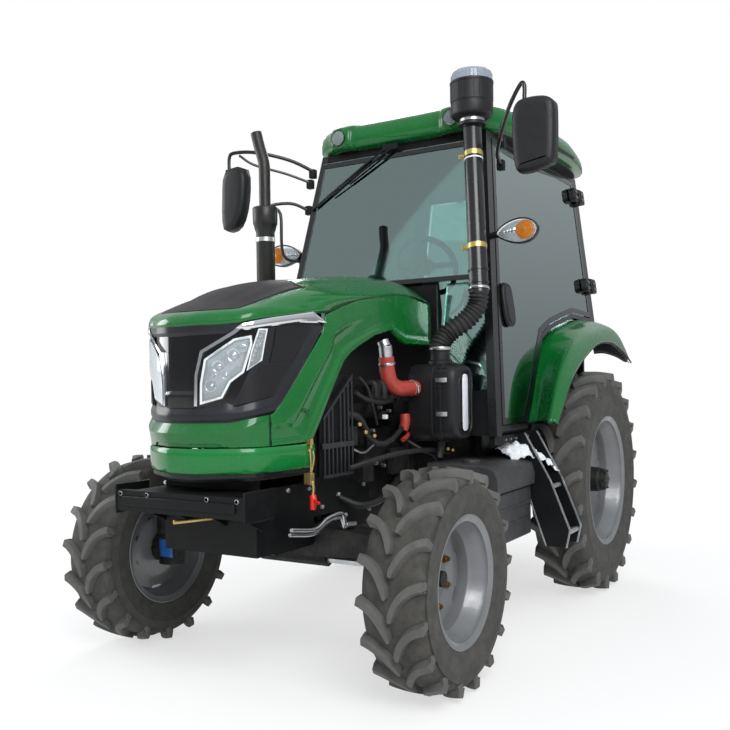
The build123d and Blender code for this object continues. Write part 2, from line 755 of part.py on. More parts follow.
with BuildPart() as exhaust:
    rod((exhaust_x, exhaust_y, 1130), (exhaust_x, exhaust_y, 2690), 30)
    rod((exhaust_x, exhaust_y, 1560), (exhaust_x, exhaust_y, 2150), 42)
    for radius, low, high in ((72, 2150, 2165), (58, 2165, 2180), (42, 2180, 2195)):
        with BuildSketch(level(low)):
            with Locations((exhaust_x, exhaust_y)):
                RegularPolygon(radius, bar_sides)
        extrude(amount=high - low)
    rod((exhaust_x, exhaust_y, 1130), (-215, exhaust_y, 1130), 30)
exhaust.part.label = "exhaust"
export_step(exhaust.part, "parts/exhaust.step")

with BuildPart() as intake_hose:
    start = (400, -1447, 1225)
    elbow = (400, -1590, 1225)
    crest = (290, -1585, 1440)
    over = (165, -1580, 1440)
    foot = (165, -1580, 1190)
    route = [start] + bend(
        start, elbow, crest, 70, 3,
    ) + bend(elbow, crest, over, 55, 3) + bend(crest, over, foot, 60, 3) + [foot]
    pipe(route, 38, 8)
intake_hose.part.label = "intake_hose"
export_step(intake_hose.part, "parts/intake_hose.step")


# ---- Cab ----
def cab_side(depth, thickness):
    """The slab of a left side wall: so far inside the side plane, and so thick."""
    normal = Vector(1, -cab_toe, cab_lean).normalized()
    origin = Vector(*at(cab_datum_x, 0, 0)) - normal * depth
    plane = Plane(origin=origin, x_dir=(cab_toe, 1, 0), z_dir=-normal)
    with BuildPart(mode=Mode.PRIVATE) as slab:
        with BuildSketch(plane):
            Rectangle(8000, 8000)
        extrude(amount=thickness)
    return slab.part


def pillar(z, shift=0):
    """A point of the front pillar's line at a height, in side view."""
    return (pillar_foot[0] + pillar_slope * (z - pillar_foot[1]) + shift, z)


door_outline = [
    pillar(cab_sill_z, 42), pillar(2655, 42), (hinge_station - 8, 2655), (hinge_station - 8, 1712),
    (187, 1725),
    (-61, 1678), (-260, 1633), (-430, 1569), (-583, 1385), (-741, 1182), (-848, cab_sill_z),
]

with BuildPart() as cab_side_left:
    with BuildSketch(side(400)):
        with BuildLine():
            Polyline(*door_outline, close=True)
        make_face()
        offset(amount=34, kind=Kind.INTERSECTION)
        with BuildLine():
            Polyline(
                pillar(cab_floor_z, -31), pillar(roof_bottom, -31), pillar(roof_bottom, 31),
                pillar(cab_floor_z, 31), close=True,
            )
        make_face()
        with BuildLine():
            Polyline(
                (hinge_station, 1684), (rear_wall_station, 1684), (rear_wall_station, roof_bottom),
                (hinge_station, roof_bottom), close=True,
            )
        make_face()
        with BuildLine():
            Polyline(*door_outline, close=True)
        make_face(mode=Mode.PRIVATE)
    extrude(amount=500)
    with BuildSketch(side(400)):
        with BuildLine():
            Polyline(*door_outline, close=True)
        make_face()
        offset(amount=6, kind=Kind.INTERSECTION)
    extrude(amount=500, mode=Mode.SUBTRACT)
    add(cab_side(0, cab_wall), mode=Mode.INTERSECT)

with BuildPart() as cab_frame:
    add(cab_side_left.part)
    mirror(cab_side_left.part, about=Plane.YZ)
cab_frame.part.label = "cab_frame"
export_step(cab_frame.part, "parts/cab_frame.step")

with BuildPart() as cab_floor:
    block((-700, -1190, cab_floor_z), (700, -700, cab_floor_z + 30))
    block((-tub_half, -700, cab_floor_z), (tub_half, rear_wall_station, cab_floor_z + 30))
    # lower front panels under the side glasses, the bulkhead behind the engine and the rear wall
    prism(
        side(-700), [pillar(cab_floor_z, 0), pillar(1245, 0), pillar(1245, 24), pillar(cab_floor_z, 24)],
        1400,
    )
    block((-362, -1145, cab_floor_z), (362, -1130, 1815))
    prism(front(rear_wall_station), [
        (-tub_half, cab_floor_z), (tub_half, cab_floor_z), (tub_half, fender_top + 2), (720, fender_top + 2),
        (720, waist_z), (-720, waist_z), (-720, fender_top + 2), (-tub_half, fender_top + 2),
    ], 30)
    # roof frame between the side frames
    prism(
        side(-700), [pillar(2640, -28), pillar(roof_bottom, -28), pillar(roof_bottom, 30), pillar(2640, 30)],
        1400,
    )
    block((-700, rear_wall_station - 50, 2640), (700, rear_wall_station, roof_bottom))
    block((-700, -820, 2672), (700, rear_wall_station - 50, roof_bottom))
    wall = cab_side(-300, 300 + cab_wall)
    add(wall, mode=Mode.SUBTRACT)
    mirror(wall, about=Plane.YZ, mode=Mode.SUBTRACT)
    # bonnet hinge pins
    for x in (-177, 123):
        prism(side(x), [
            (-1146, 1700), (-1131, 1700), (-1131, 1800), (hinge_y, hinge_z + 16), (hinge_y - 16, hinge_z),
            (hinge_y, hinge_z - 16),
        ], 12)
        rod((x + 12, hinge_y, hinge_z), (x + 40, hinge_y, hinge_z), hinge_pin, sides=pin_sides)
    # rear window hinge pins
    for x in (-330, 290):
        for gap in (-2, 30):
            block((x + gap, rear_wall_station, 2640), (x + gap + 12, window_hinge_y + 11, 2670))
        rod(
            (x, window_hinge_y, window_hinge_z), (x + 40, window_hinge_y, window_hinge_z), hinge_pin,
            sides=pin_sides,
        )
cab_floor.part.label = "cab_floor"
export_step(cab_floor.part, "parts/cab_floor.step")

with BuildPart() as work_lamps:
    for hand in (1, -1):
        with BuildSketch(front(-890)):
            with Locations((hand * lamp_x, lamp_z)):
                RegularPolygon(lamp_radius, bar_sides)
        extrude(amount=72)
work_lamps.part.label = "work_lamps"
export_step(work_lamps.part, "parts/work_lamps.step")

with BuildPart() as cab_roof:
    rows = []
    for z, inset in roof_steps:
        half = [(x - inset * x / 600, y + inset * (1 if y < 0 else -1)) for x, y in roof_plan]
        outline = half + [(-x, y) for x, y in reversed(half)]
        rows.append([at(x, y, z) for x, y in outline])
    add(skin(rows))
    # the roof falls towards its rear edge
    prism(
        side(-800), [(150, roof_top), (800, roof_top - 70), (800, roof_top + 50), (150, roof_top + 50)],
        1600, mode=Mode.SUBTRACT,
    )
    for hand in (1, -1):
        with BuildSketch(front(-700)):
            with Locations((hand * lamp_x, lamp_z)):
                RegularPolygon(pod_radius, bar_sides)
        extrude(amount=-700 - pod_station)
    add(work_lamps.part, mode=Mode.SUBTRACT)
cab_roof.part.label = "cab_roof"
export_step(cab_roof.part, "parts/cab_roof.step")

lift = sqrt(1 + pillar_slope**2)


def screen(shift):
    """Plane along the front pillars: its own x is across the tractor, its y runs up the slope from the floor."""
    return Plane(origin=at(0, *pillar(cab_floor_z, shift)), x_dir=(1, 0, 0), z_dir=(0, -1, pillar_slope))


with BuildPart() as front_glass:
    for hand in (1, -1):
        prism(screen(-4), [(hand * x, (z - cab_floor_z) * lift) for x, z in side_pane], -glass)
    wall = cab_side(-300, 300 + cab_wall)
    add(wall, mode=Mode.SUBTRACT)
    mirror(wall, about=Plane.YZ, mode=Mode.SUBTRACT)
    prism(screen(-pillar_width / 2), [(x, (z - cab_floor_z) * lift) for x, z in windscreen], glass)
front_glass.part.label = "front_glass"
export_step(front_glass.part, "parts/front_glass.step")

with BuildPart() as door_glass_left:
    with BuildSketch(side(400)):
        with BuildLine():
            Polyline(*door_outline, close=True)
        make_face()
    extrude(amount=500)
    add(cab_side(0, glass), mode=Mode.INTERSECT)
# door hinges: their axis lies outside the glass, along the lean of the side
hinge_out = hinge_offset * sqrt(1 + cab_lean**2)


def hinge_point(z):
    """The door hinges' axis at a height."""
    return (cab_datum_x - cab_lean * z + cab_toe * hinge_station + hinge_out, hinge_station, z)


with BuildPart() as door_fittings_left:
    for z in hinge_heights:
        prism(side(400), [(y, z + h) for y, h in hinge_leaf], 500)
    prism(side(400), moved(slot(62, 190), *pillar(1720, 130)), 500)
    add(cab_side(-26, 26), mode=Mode.INTERSECT)
    for z in hinge_heights:
        rod(hinge_point(z - hinge_half), hinge_point(z + hinge_half), hinge_barrel, sides=pin_sides)
        rod(hinge_point(z - 100), hinge_point(z + 100), hinge_pin + shaft_gap, Mode.SUBTRACT, sides=0)
with BuildPart() as door_hinges_left:
    for z in hinge_heights:
        for gap in (-hinge_half - hinge_play - hinge_ear, hinge_half + hinge_play):
            low = hinge_point(z + gap)
            high = hinge_point(z + gap + hinge_ear)
            rod(low, high, hinge_barrel, sides=pin_sides)
            prism(level(z + gap), [
                (low[0] - hinge_out - 6, hinge_station + 4), (low[0] + 12, hinge_station),
                (low[0] + 12, rear_wall_station - 6),
                (low[0] - hinge_out - 6, rear_wall_station - 6),
            ], hinge_ear)
        rod(
            hinge_point(z - hinge_half - hinge_ear), hinge_point(z + hinge_half + hinge_ear), hinge_pin,
            sides=pin_sides,
        )
    add(cab_side(0, 200), mode=Mode.SUBTRACT)
with BuildPart() as door_hinges:
    add(door_hinges_left.part)
    mirror(door_hinges_left.part, about=Plane.YZ)
door_hinges.part.label = "door_hinges"
export_step(door_hinges.part, "parts/door_hinges.step")
with BuildPart() as seat_base:
    block((-160, -40, cab_floor_z + 30), (160, 320, 1330))
seat_base.part.label = "seat_base"
export_step(seat_base.part, "parts/seat_base.step")
with BuildPart() as seat_cushion:
    block((-240, -130, 1330.5), (240, 360, 1450))
seat_cushion.part.label = "seat_cushion"
export_step(seat_cushion.part, "parts/seat_cushion.step")
with BuildPart() as seat_back:
    prism(side(-230), [(270, 1450.5), (400, 1450.5), (470, 2020), (380, 2020)], 460)
seat_back.part.label = "seat_back"
export_step(seat_back.part, "parts/seat_back.step")

wheel_tilt = Vector(0, 270, 165).normalized()
column_end = Vector(*at(0, -560, 1985))
column_shaft = 12
with BuildPart() as dashboard:
    prism(
        side(-210), [(-1130, 1040), (-860, 1040), (-760, 1700), (-800, 1880), (-980, 1880), (-1130, 1700)],
        420,
    )
    rod((0, -830, 1820), (0, -560, 1985), 26)
    with BuildSketch(Plane(origin=column_end, z_dir=wheel_tilt)):
        RegularPolygon(column_shaft, pin_sides)
    extrude(amount=45)
dashboard.part.label = "dashboard"
export_step(dashboard.part, "parts/dashboard.step")

with BuildPart() as steering_wheel:
    with BuildSketch(Plane(origin=column_end + wheel_tilt * 5, x_dir=(1, 0, 0), z_dir=wheel_tilt)):
        RegularPolygon(45, bar_sides)
    extrude(amount=55)
    with BuildSketch(Plane(origin=column_end + wheel_tilt * 30, x_dir=(1, 0, 0), z_dir=wheel_tilt)):
        RegularPolygon(205, bowl_sides)
        RegularPolygon(177, bowl_sides, mode=Mode.SUBTRACT)
        with Locations((105, 0), (-105, 0)):
            Rectangle(170, 26)
        with Locations((0, -105)):
            Rectangle(26, 170)
    extrude(amount=24)
    with BuildSketch(Plane(origin=column_end, x_dir=(1, 0, 0), z_dir=wheel_tilt)):
        Circle(column_shaft + shaft_gap)
    extrude(amount=50, mode=Mode.SUBTRACT)
steering_wheel.part.label = "steering_wheel"
export_step(steering_wheel.part, "parts/steering_wheel.step")

with BuildPart() as rear_window:
    prism(front(rear_wall_station + glass), [
        (-window_foot, waist_z + 6), (window_foot, waist_z + 6), (window_head, 2634), (-window_head, 2634),
    ], glass)
    for x in (-318, 302):
        block((x, rear_wall_station + 1, 2600), (x + 16, window_hinge_y + 8, window_hinge_z - 12))
        rod((x, window_hinge_y, window_hinge_z - 6), (x + 16, window_hinge_y, window_hinge_z - 6), window_eye)
        rod((x, window_hinge_y, window_hinge_z), (x + 16, window_hinge_y, window_hinge_z), window_eye)
        rod(
            (x - 1, window_hinge_y, window_hinge_z), (x + 17, window_hinge_y, window_hinge_z),
            hinge_pin + shaft_gap, Mode.SUBTRACT, sides=0,
        )
rear_window.part.label = "rear_window"
export_step(rear_window.part, "parts/rear_window.step")

# ---- Fenders ----
FenderRow = namedtuple("FenderRow", "inner_y inner_z fold_y fold_z outer_y outer_z")
fender_rows = [
    FenderRow(-580, 1048, -800, 1050, -785, 1050),
    FenderRow(-528, 1156, -690, 1210, -690, 1140),
    FenderRow(-490, 1290, -572, 1343, -546, 1277),
    FenderRow(-400, 1426, -391, 1466, -399, 1365),
    FenderRow(-225, 1569, -122, 1553, -200, 1450),
    FenderRow(45, 1640, 120, 1600, 43, 1516),
    FenderRow(290, fender_top, 380, 1625, 330, 1528),
    FenderRow(560, fender_top, 600, 1600, 597, 1480),
    FenderRow(730, 1640, 760, 1520, 720, 1445),
    FenderRow(840, 1480, 850, 1412, 827, 1405),
]
with BuildPart() as fender_left:
    inner_top = [(row.inner_y, row.inner_z) for row in fender_rows]
    fold_top = [(row.fold_y, row.fold_z) for row in fender_rows]
    outer_top = [(row.outer_y, row.outer_z) for row in fender_rows]
    upper = []
    lower = []
    for x, top in (
        (tub_half, inner_top), (fender_inner_x, inner_top), (fender_fold_x, fold_top),
        (fender_outer_x, outer_top),
    ):
        under = []
        for y, z in top:
            reach = hypot(y, z - rear_wheel.radius)
            under.append((y - fender_wall * y / reach, z - fender_wall * (z - rear_wheel.radius) / reach))
        upper.append([at(x, y, z) for y, z in top])
        lower.append([at(x, y, z) for y, z in under])
    add(plated(upper, lower))
    # wall between the wheel and the cab
    prism(
        side(tub_half),
        [(-570, cab_floor_z), *inner_top, (rear_wall_station + 60, 1100), (rear_wall_station + 60, cab_floor_z)],
        12,
    )
    # panel below the door, in the plane of the cab's side
    with BuildPart(mode=Mode.PRIVATE) as below_door:
        prism(side(400), [
            (-580, cab_floor_z), *inner_top[:6], (290, fender_top - 22), (rear_wall_station, fender_top - 22),
            (rear_wall_station, fender_top), (hinge_station - 8, fender_top),
            *moved(door_outline[-7:], 26, -36), (-830, cab_floor_z),
        ], 500)
        add(cab_side(4, 12), mode=Mode.INTERSECT)
    add(below_door.part)
fender_left.part.label = "fender_left"

# ---- Tank, battery box, steps, mirrors and lamps of the left side; the right side mirrors most ----
with BuildPart() as fuel_tank:
    prism(level(790), [(430, -1400), (650, -1400), (722, -1340), (722, -950), (690, -930), (430, -930)], 62)
    prism(level(852), [(430, -1385), (640, -1385), (702, -1330), (702, -965), (680, -945), (430, -945)], 28)
    prism(level(440), [
        (430, -1385), (630, -1385), (700, -1325), (700, -1180), (712, -1180), (712, -1150), (700, -1150),
        (700, -945), (430, -945),
    ], 350)
fuel_tank.part.label = "fuel_tank"
export_step(fuel_tank.part, "parts/fuel_tank.step")
with BuildPart() as battery_box:
    prism(
        level(440), [(-430, -1400), (-430, -930), (-690, -930), (-720, -960), (-720, -1330), (-640, -1400)],
        400,
    )
    prism(
        level(840), [(-430, -1390), (-430, -940), (-684, -940), (-708, -966), (-708, -1324), (-634, -1390)],
        40,
    )
battery_box.part.label = "battery_box"
export_step(battery_box.part, "parts/battery_box.step")

with BuildPart() as step_left:
    prism(
        front(-700),
        [(690, cab_floor_z), (760, cab_floor_z), (985, 480), (985, 400), (850, 400), (690, 790)], 14,
    )
    prism(
        front(-890),
        [(690, cab_floor_z), (760, cab_floor_z), (985, 480), (985, 400), (850, 400), (690, 790)], 14,
    )
    block((760, -890, 705), (880, -714, 725))
    block((860, -890, 470), (975, -714, 490))
step_left.part.label = "steps"
with BuildPart() as steps:
    add(step_left.part)
    mirror(step_left.part, about=Plane.YZ)
steps.part.label = "steps"
export_step(steps.part, "parts/steps.step")

with BuildPart() as mirror_left:
    prism(level(2200), [(830, -1180), (1020, -1180), (1020, -1205), (955, -1262), (830, -1228)], 500)
    with BuildSketch(front(-1100)) as face:
        with Locations((925, 2455)):
            Rectangle(190, 400)
        chamfer(face.vertices(), 38)
    extrude(amount=200, mode=Mode.INTERSECT)
    rod((530, -860, 2610), (800, -1050, 2700), 12)
    rod((800, -1050, 2700), (925, -1215, 2640), 12)
    add(cab_side(0, 300), mode=Mode.SUBTRACT)
mirror_left.part.label = "mirror_left"
with BuildPart() as mirrors:
    add(mirror_left.part)
    mirror(mirror_left.part, about=Plane.YZ)
mirrors.part.label = "mirrors"
export_step(mirrors.part, "parts/mirrors.step")

with BuildPart() as turn_signals:
    for hand in (1, -1):
        prism(
            front(-960),
            [(hand * x, z) for x, z in ((640, 2105), (690, 2075), (780, 2065), (835, 2095), (835, 2150), (780, 2180), (690, 2165), (640, 2135))],
            30,
        )
        rod((hand * 590, -945, 2120), (hand * 660, -975, 2120), 9)
    trim = cab_side(0, 300)
    add(trim, mode=Mode.SUBTRACT)
    mirror(trim, about=Plane.YZ, mode=Mode.SUBTRACT)
turn_signals.part.label = "turn_signals"
export_step(turn_signals.part, "parts/turn_signals.step")

with BuildPart() as bonnet_latch:
    block((latch_x, latch_y - 20, 945), (latch_x + 24, latch_y + 20, 975))
    block((latch_x + 8, latch_y - 12, 870), (latch_x + 18, latch_y + 12, band_top))
    block((latch_x, latch_y - 14, band_top - 14), (latch_x + 18, latch_y + 14, band_top))
    block((latch_x + 4, latch_y - 15, 830), (latch_x + 26, latch_y + 15, 910))
    rod((latch_x + 14, latch_y, 840), (latch_x + 14, latch_y - 30, 765), 10)
bonnet_latch.part.label = "bonnet_latch"
export_step(bonnet_latch.part, "parts/bonnet_latch.step")

# ---- Rear hitch ----
with BuildPart() as hitch:
    block((-45, 0, 363), (45, 900, 395))
    with Locations(at(0, 860, 379)):
        Cylinder(drawbar_hole, 40, mode=Mode.SUBTRACT)
    rod((0, 270, 560), (0, 370, 560), pto_radius, sides=0)
    # top link bracket
    for x in (-40, 24):
        prism(
            side(x),
            [(270, top_link_z - 50), (270, top_link_z + 50), (345, top_link_z + 22), (345, top_link_z - 22)],
            16,
        )
    rod((-40, top_link_y, top_link_z), (40, top_link_y, top_link_z), top_link_pin)
hitch.part.label = "hitch"
export_step(hitch.part, "parts/hitch.step")

with BuildPart() as top_link:
    rod((-19, top_link_y, top_link_z), (19, top_link_y, top_link_z), 26)
    rod((0, top_link_y + 20, top_link_z), (0, top_link_y + top_link_reach - 20, top_link_z), 16)
    rod((0, top_link_y + 110, top_link_z), (0, top_link_y + top_link_reach - 110, top_link_z), 22)
    rod((-19, top_link_y + top_link_reach, top_link_z), (19, top_link_y + top_link_reach, top_link_z), 28)
    rod(
        (-20, top_link_y, top_link_z), (20, top_link_y, top_link_z), top_link_pin + shaft_gap, Mode.SUBTRACT,
        sides=0,
    )
    rod((-20, top_link_y + top_link_reach, top_link_z), (20, top_link_y + top_link_reach, top_link_z),
        top_link_hole, Mode.SUBTRACT, sides=0)
top_link.part.label = "top_link"
export_step(top_link.part, "parts/top_link.step")

with BuildPart() as lift_arm:
    prism(side(240), [(lift_y - 35, lift_z), (lift_y, lift_z - 35), (lift_y + 40, lift_z - 30), (lift_y + lift_reach + 20, lift_z - 18),
        (lift_y + lift_reach + 20, lift_z + 18), (lift_y + 40, lift_z + 30), (lift_y, lift_z + 35)], 27)
    rod((239, lift_y, lift_z), (268, lift_y, lift_z), lift_pin + shaft_gap, Mode.SUBTRACT, sides=0)
    rod((266, lift_y + lift_reach, lift_z), (300, lift_y + lift_reach, lift_z), rod_pin, sides=pin_sides)
with BuildPart() as lift_arms:
    add(lift_arm.part)
    mirror(lift_arm.part, about=Plane.YZ)
lift_arms.part.label = "lift_arms"
export_step(lift_arms.part, "parts/lift_arms.step")

with BuildPart() as lift_rod_left:
    top = (lift_y + lift_reach, lift_z)
    prism(side(272), [(top[0] - 20, top[1]), (top[0], top[1] + 20), (top[0] + 20, top[1]), (lift_foot[0] + 18, lift_foot[1]),
        (lift_foot[0], lift_foot[1] - 18), (lift_foot[0] - 18, lift_foot[1])], 24)
    rod((271, *top), (297, *top), rod_pin + shaft_gap, Mode.SUBTRACT, sides=0)
with BuildPart() as lower_link_left:
    prism(side(link_x), [
        (lower_link_y - 30, lower_link_z), (lower_link_y, lower_link_z - 30),
        (rear_reach - 20, lower_link_z - 28),
        (rear_reach, lower_link_z - 14), (rear_reach, lower_link_z + 14),
        (rear_reach - 20, lower_link_z + 28), (lower_link_y, lower_link_z + 30),
    ], 28)
    rod(
        (link_x - 1, lower_link_y, lower_link_z), (link_x + 29, lower_link_y, lower_link_z),
        link_pin + shaft_gap, Mode.SUBTRACT, sides=0,
    )
    rod(
        (link_x - 1, rear_reach - 35, lower_link_z), (link_x + 29, rear_reach - 35, lower_link_z), ball_hole,
        Mode.SUBTRACT, sides=0,
    )

for name, left in (
    ("fender", fender_left), ("lower_link", lower_link_left), ("lift_rod", lift_rod_left),
    ("door_glass", door_glass_left), ("door_fittings", door_fittings_left),
):
    left.part.label = f"{name}_left"
    export_step(left.part, f"parts/{name}_left.step")
    with BuildPart() as right:
        mirror(left.part, about=Plane.YZ)
    right.part.label = f"{name}_right"
    export_step(right.part, f"parts/{name}_right.step")
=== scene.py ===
"""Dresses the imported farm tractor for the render: finer pieces over its frame, and a finish for every surface.

Lengths are in metres. +X is the tractor's left, -Y is forwards and +Z is up. A station is a place along the tractor,
measured from the rear axle and negative ahead of it.
"""
from __future__ import annotations

import logging
import math
import random
from dataclasses import dataclass
from enum import Enum
from typing import Callable, Iterable, Sequence

import bpy
from mathutils import Matrix, Vector


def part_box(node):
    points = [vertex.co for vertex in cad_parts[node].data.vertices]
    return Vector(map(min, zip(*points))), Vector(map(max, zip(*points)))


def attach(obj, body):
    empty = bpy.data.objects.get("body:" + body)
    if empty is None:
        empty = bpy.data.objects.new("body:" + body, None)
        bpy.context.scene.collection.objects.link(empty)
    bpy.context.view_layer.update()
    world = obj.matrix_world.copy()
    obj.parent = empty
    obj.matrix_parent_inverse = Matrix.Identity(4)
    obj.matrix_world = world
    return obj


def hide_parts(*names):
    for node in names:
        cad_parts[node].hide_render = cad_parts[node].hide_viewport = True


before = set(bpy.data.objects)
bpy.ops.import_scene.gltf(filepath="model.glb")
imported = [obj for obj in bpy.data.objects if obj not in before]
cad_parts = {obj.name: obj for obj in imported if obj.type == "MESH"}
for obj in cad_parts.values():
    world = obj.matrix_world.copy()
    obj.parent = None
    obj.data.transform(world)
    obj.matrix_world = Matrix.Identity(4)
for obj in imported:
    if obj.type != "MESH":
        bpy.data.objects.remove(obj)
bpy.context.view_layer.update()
LOG = logging.getLogger("tractor")
REAR_AXLE_Y = sum(corner.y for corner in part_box("rear_tyre_left")) / 2
Point = Sequence[float]
Table = Sequence[tuple[float, float]]


class Side(Enum):
    """A side of the tractor: its word in names, and its sign along +X."""

    LEFT = ("left", 1)
    RIGHT = ("right", -1)

    def __init__(self, word: str, hand: int) -> None:
        """Keeps the word and the sign apart."""
        self.word, self.hand = word, hand


class End(Enum):
    """An end of the tractor, as its word in names."""

    FRONT = "front"
    REAR = "rear"


def linear(code: str) -> tuple[float, float, float, float]:
    """Turns an sRGB hex colour into linear values.

    Args:
        code: The colour, such as "#136b2d".

    Returns:
        Red, green, blue and an alpha of 1.
    """
    channels = [int(code[i:i + 2], 16) / 255 for i in (1, 3, 5)]
    return (*[c / 12.92 if c <= 0.04045 else ((c + 0.055) / 1.055) ** 2.4 for c in channels], 1.0)


def add_node(tree: bpy.types.NodeTree, kind: str, inputs: dict | None = None, **settings) -> bpy.types.Node:
    """Adds a shader node.

    Args:
        tree: The material's node tree.
        kind: The node's type name.
        inputs: Values or sockets for its inputs, by name or number.
        **settings: Attributes of the node.

    Returns:
        The new node.
    """
    node = tree.nodes.new(kind)
    for key, value in settings.items():
        setattr(node, key, value)
    for key, value in (inputs or {}).items():
        if isinstance(value, bpy.types.NodeSocket):
            tree.links.new(value, node.inputs[key])
        else:
            node.inputs[key].default_value = value
    return node


def blank(name: str) -> tuple[bpy.types.Material, bpy.types.NodeTree]:
    """A new material with its empty node tree.

    Args:
        name: The material's name.

    Returns:
        The material and its tree.
    """
    made = bpy.data.materials.new(name)
    made.use_nodes = True
    made.node_tree.nodes.clear()
    return made, made.node_tree


def round_edges(made: bpy.types.Object, width: float, steps: int, angle: float) -> None:
    """Rounds every edge sharper than an angle in degrees.

    Args:
        made: The object.
        width: Width of the rounding, in metres.
        steps: Steps in each rounding.
        angle: Edges sharper than this are rounded.
    """
    edge = made.modifiers.new("rounding", "BEVEL")
    edge.width, edge.segments, edge.limit_method = width, steps, "ANGLE"
    edge.angle_limit = math.radians(angle)


def turns(count: int) -> list[float]:
    """The angles of so many even steps round a circle, in radians."""
    return [2 * math.pi * i / count for i in range(count)]


def metres(profile: Table) -> list[tuple[float, float]]:
    """A profile given in millimetres."""
    return [(along / 1000, radius / 1000) for along, radius in profile]


def at(x: float, station: float, z: float) -> Vector:
    """The point at a station."""
    return Vector((x, REAR_AXLE_Y + station, z))


@dataclass(frozen=True)
class Finish:
    """How one real material looks: its colour, gloss and the size and depth of its texture.

    grain_mm and grain_depth_mm are the width and height of the fine texture. shade is a second colour that drifts in
    over shade_mm. dust is how much pale dust lies in patches, and scuff how far the gloss wanders.
    """

    name: str
    colour: str
    roughness: float = 0.5
    metallic: float = 0.0
    ior: float = 1.5
    coat: float = 0.0
    grain_mm: float = 2.0
    grain_depth_mm: float = 0.05
    shade: str = ""
    shade_mm: float = 180.0
    dust: float = 0.0
    scuff: float = 0.12

    def material(self) -> bpy.types.Material:
        """Makes the material once and hands out the same one after that.

        Returns:
            The material.
        """
        made = bpy.data.materials.get(self.name)
        if made:
            return made
        made, tree = blank(self.name)
        place = add_node(tree, "ShaderNodeTexCoord").outputs["Object"]
        colour = self.tinted(tree, place) if self.shade else linear(self.colour)
        if self.dust:
            colour = self.dusted(tree, place, colour)
        grain = add_node(tree, "ShaderNodeTexNoise", {
            "Vector": place, "Scale": 1000 / self.grain_mm, "Detail": 3.0,
        }).outputs["Fac"]
        bump = add_node(tree, "ShaderNodeBump", {
            "Height": grain, "Distance": self.grain_depth_mm / 1000, "Strength": 0.8,
        }).outputs["Normal"]
        worn = add_node(tree, "ShaderNodeTexNoise", {
            "Vector": place, "Scale": 1000 / 45, "Detail": 5.0, "Roughness": 0.7,
        }).outputs["Fac"]
        rough = add_node(tree, "ShaderNodeMapRange", {
            "Value": worn, 1: 0.3, 2: 0.75, 3: max(self.roughness - self.scuff / 2, 0.02),
            4: min(self.roughness + self.scuff, 1.0),
        }).outputs["Result"]
        surface = add_node(tree, "ShaderNodeBsdfPrincipled", {
            "Base Color": colour, "Roughness": rough, "Metallic": self.metallic, "IOR": self.ior,
            "Coat Weight": self.coat, "Coat Roughness": 0.04, "Normal": bump,
        })
        add_node(tree, "ShaderNodeOutputMaterial", {"Surface": surface.outputs["BSDF"]})
        return made

    def tinted(self, tree: bpy.types.NodeTree, place: bpy.types.NodeSocket) -> bpy.types.NodeSocket:
        """Lets the second colour drift in.

        Args:
            tree: The material's node tree.
            place: Where a point lies.

        Returns:
            The drifting colour.
        """
        drift = add_node(tree, "ShaderNodeTexNoise", {
            "Vector": place, "Scale": 1000 / self.shade_mm, "Detail": 4.0, "Roughness": 0.6,
        }).outputs["Fac"]
        amount = add_node(tree, "ShaderNodeMapRange", {"Value": drift, 1: 0.35, 2: 0.68}).outputs["Result"]
        return add_node(
            tree, "ShaderNodeMix", {"Factor": amount, 6: linear(self.colour), 7: linear(self.shade)},
            data_type="RGBA",
        ).outputs[2]

    def dusted(
        self, tree: bpy.types.NodeTree, place: bpy.types.NodeSocket, colour: bpy.types.NodeSocket,
    ) -> bpy.types.NodeSocket:
        """Lays pale dust in fine patches over a colour.

        Args:
            tree: The material's node tree.
            place: Where a point lies.
            colour: The clean colour.

        Returns:
            The colour with its dust.
        """
        patches = add_node(tree, "ShaderNodeTexNoise", {
            "Vector": place, "Scale": 1000 / 70, "Detail": 8.0, "Roughness": 0.75,
        }).outputs["Fac"]
        lain = add_node(tree, "ShaderNodeMapRange", {
            "Value": patches, 1: 0.45, 2: 0.8, 4: self.dust,
        }).outputs["Result"]
        return add_node(
            tree, "ShaderNodeMix", {"Factor": lain, 6: colour, 7: linear("#8c857a")}, data_type="RGBA",
        ).outputs[2]


@dataclass(frozen=True)
class Pane(Finish):
    """Clear or tinted glass, which light and lamps pass through: tint colours what is seen through it."""

    tint: str = "#cfe6e2"
    clearness: float = 0.9
    mirrored: bool = False

    def material(self) -> bpy.types.Material:
        """Makes the glass from a clear share and a mirrored share that grows at a slant.

        Returns:
            The glass.
        """
        made = bpy.data.materials.get(self.name)
        if made:
            return made
        made, tree = blank(self.name)
        clear = add_node(tree, "ShaderNodeBsdfTransparent", {"Color": linear(self.tint)})
        if self.mirrored:
            mirror = add_node(tree, "ShaderNodeBsdfGlossy", {
                "Color": linear(self.colour), "Roughness": self.roughness,
            })
        else:
            mirror = add_node(tree, "ShaderNodeBsdfPrincipled", {
                "Base Color": linear(self.colour), "Roughness": self.roughness, "IOR": self.ior,
            })
        slant = add_node(tree, "ShaderNodeFresnel", {"IOR": self.ior}).outputs["Fac"]
        share = add_node(tree, "ShaderNodeMapRange", {
            "Value": slant, 1: 0.0, 2: 1.0, 3: 1 - self.clearness, 4: 1.0,
        }).outputs["Result"]
        mixed = add_node(tree, "ShaderNodeMixShader", {0: share, 1: clear.outputs[0], 2: mirror.outputs[0]})
        add_node(tree, "ShaderNodeOutputMaterial", {"Surface": mixed.outputs[0]})
        return made


# Two-coat enamel over pressed steel: deep green under a clear coat that mirrors the sky, with faint orange peel.
GREEN_ENAMEL = Finish(
    "green_enamel_two_coat", "#0a5c25", 0.26, ior=1.3, coat=0.45, grain_mm=3.5, grain_depth_mm=0.004,
    shade="#0c6129", scuff=0.05,
)
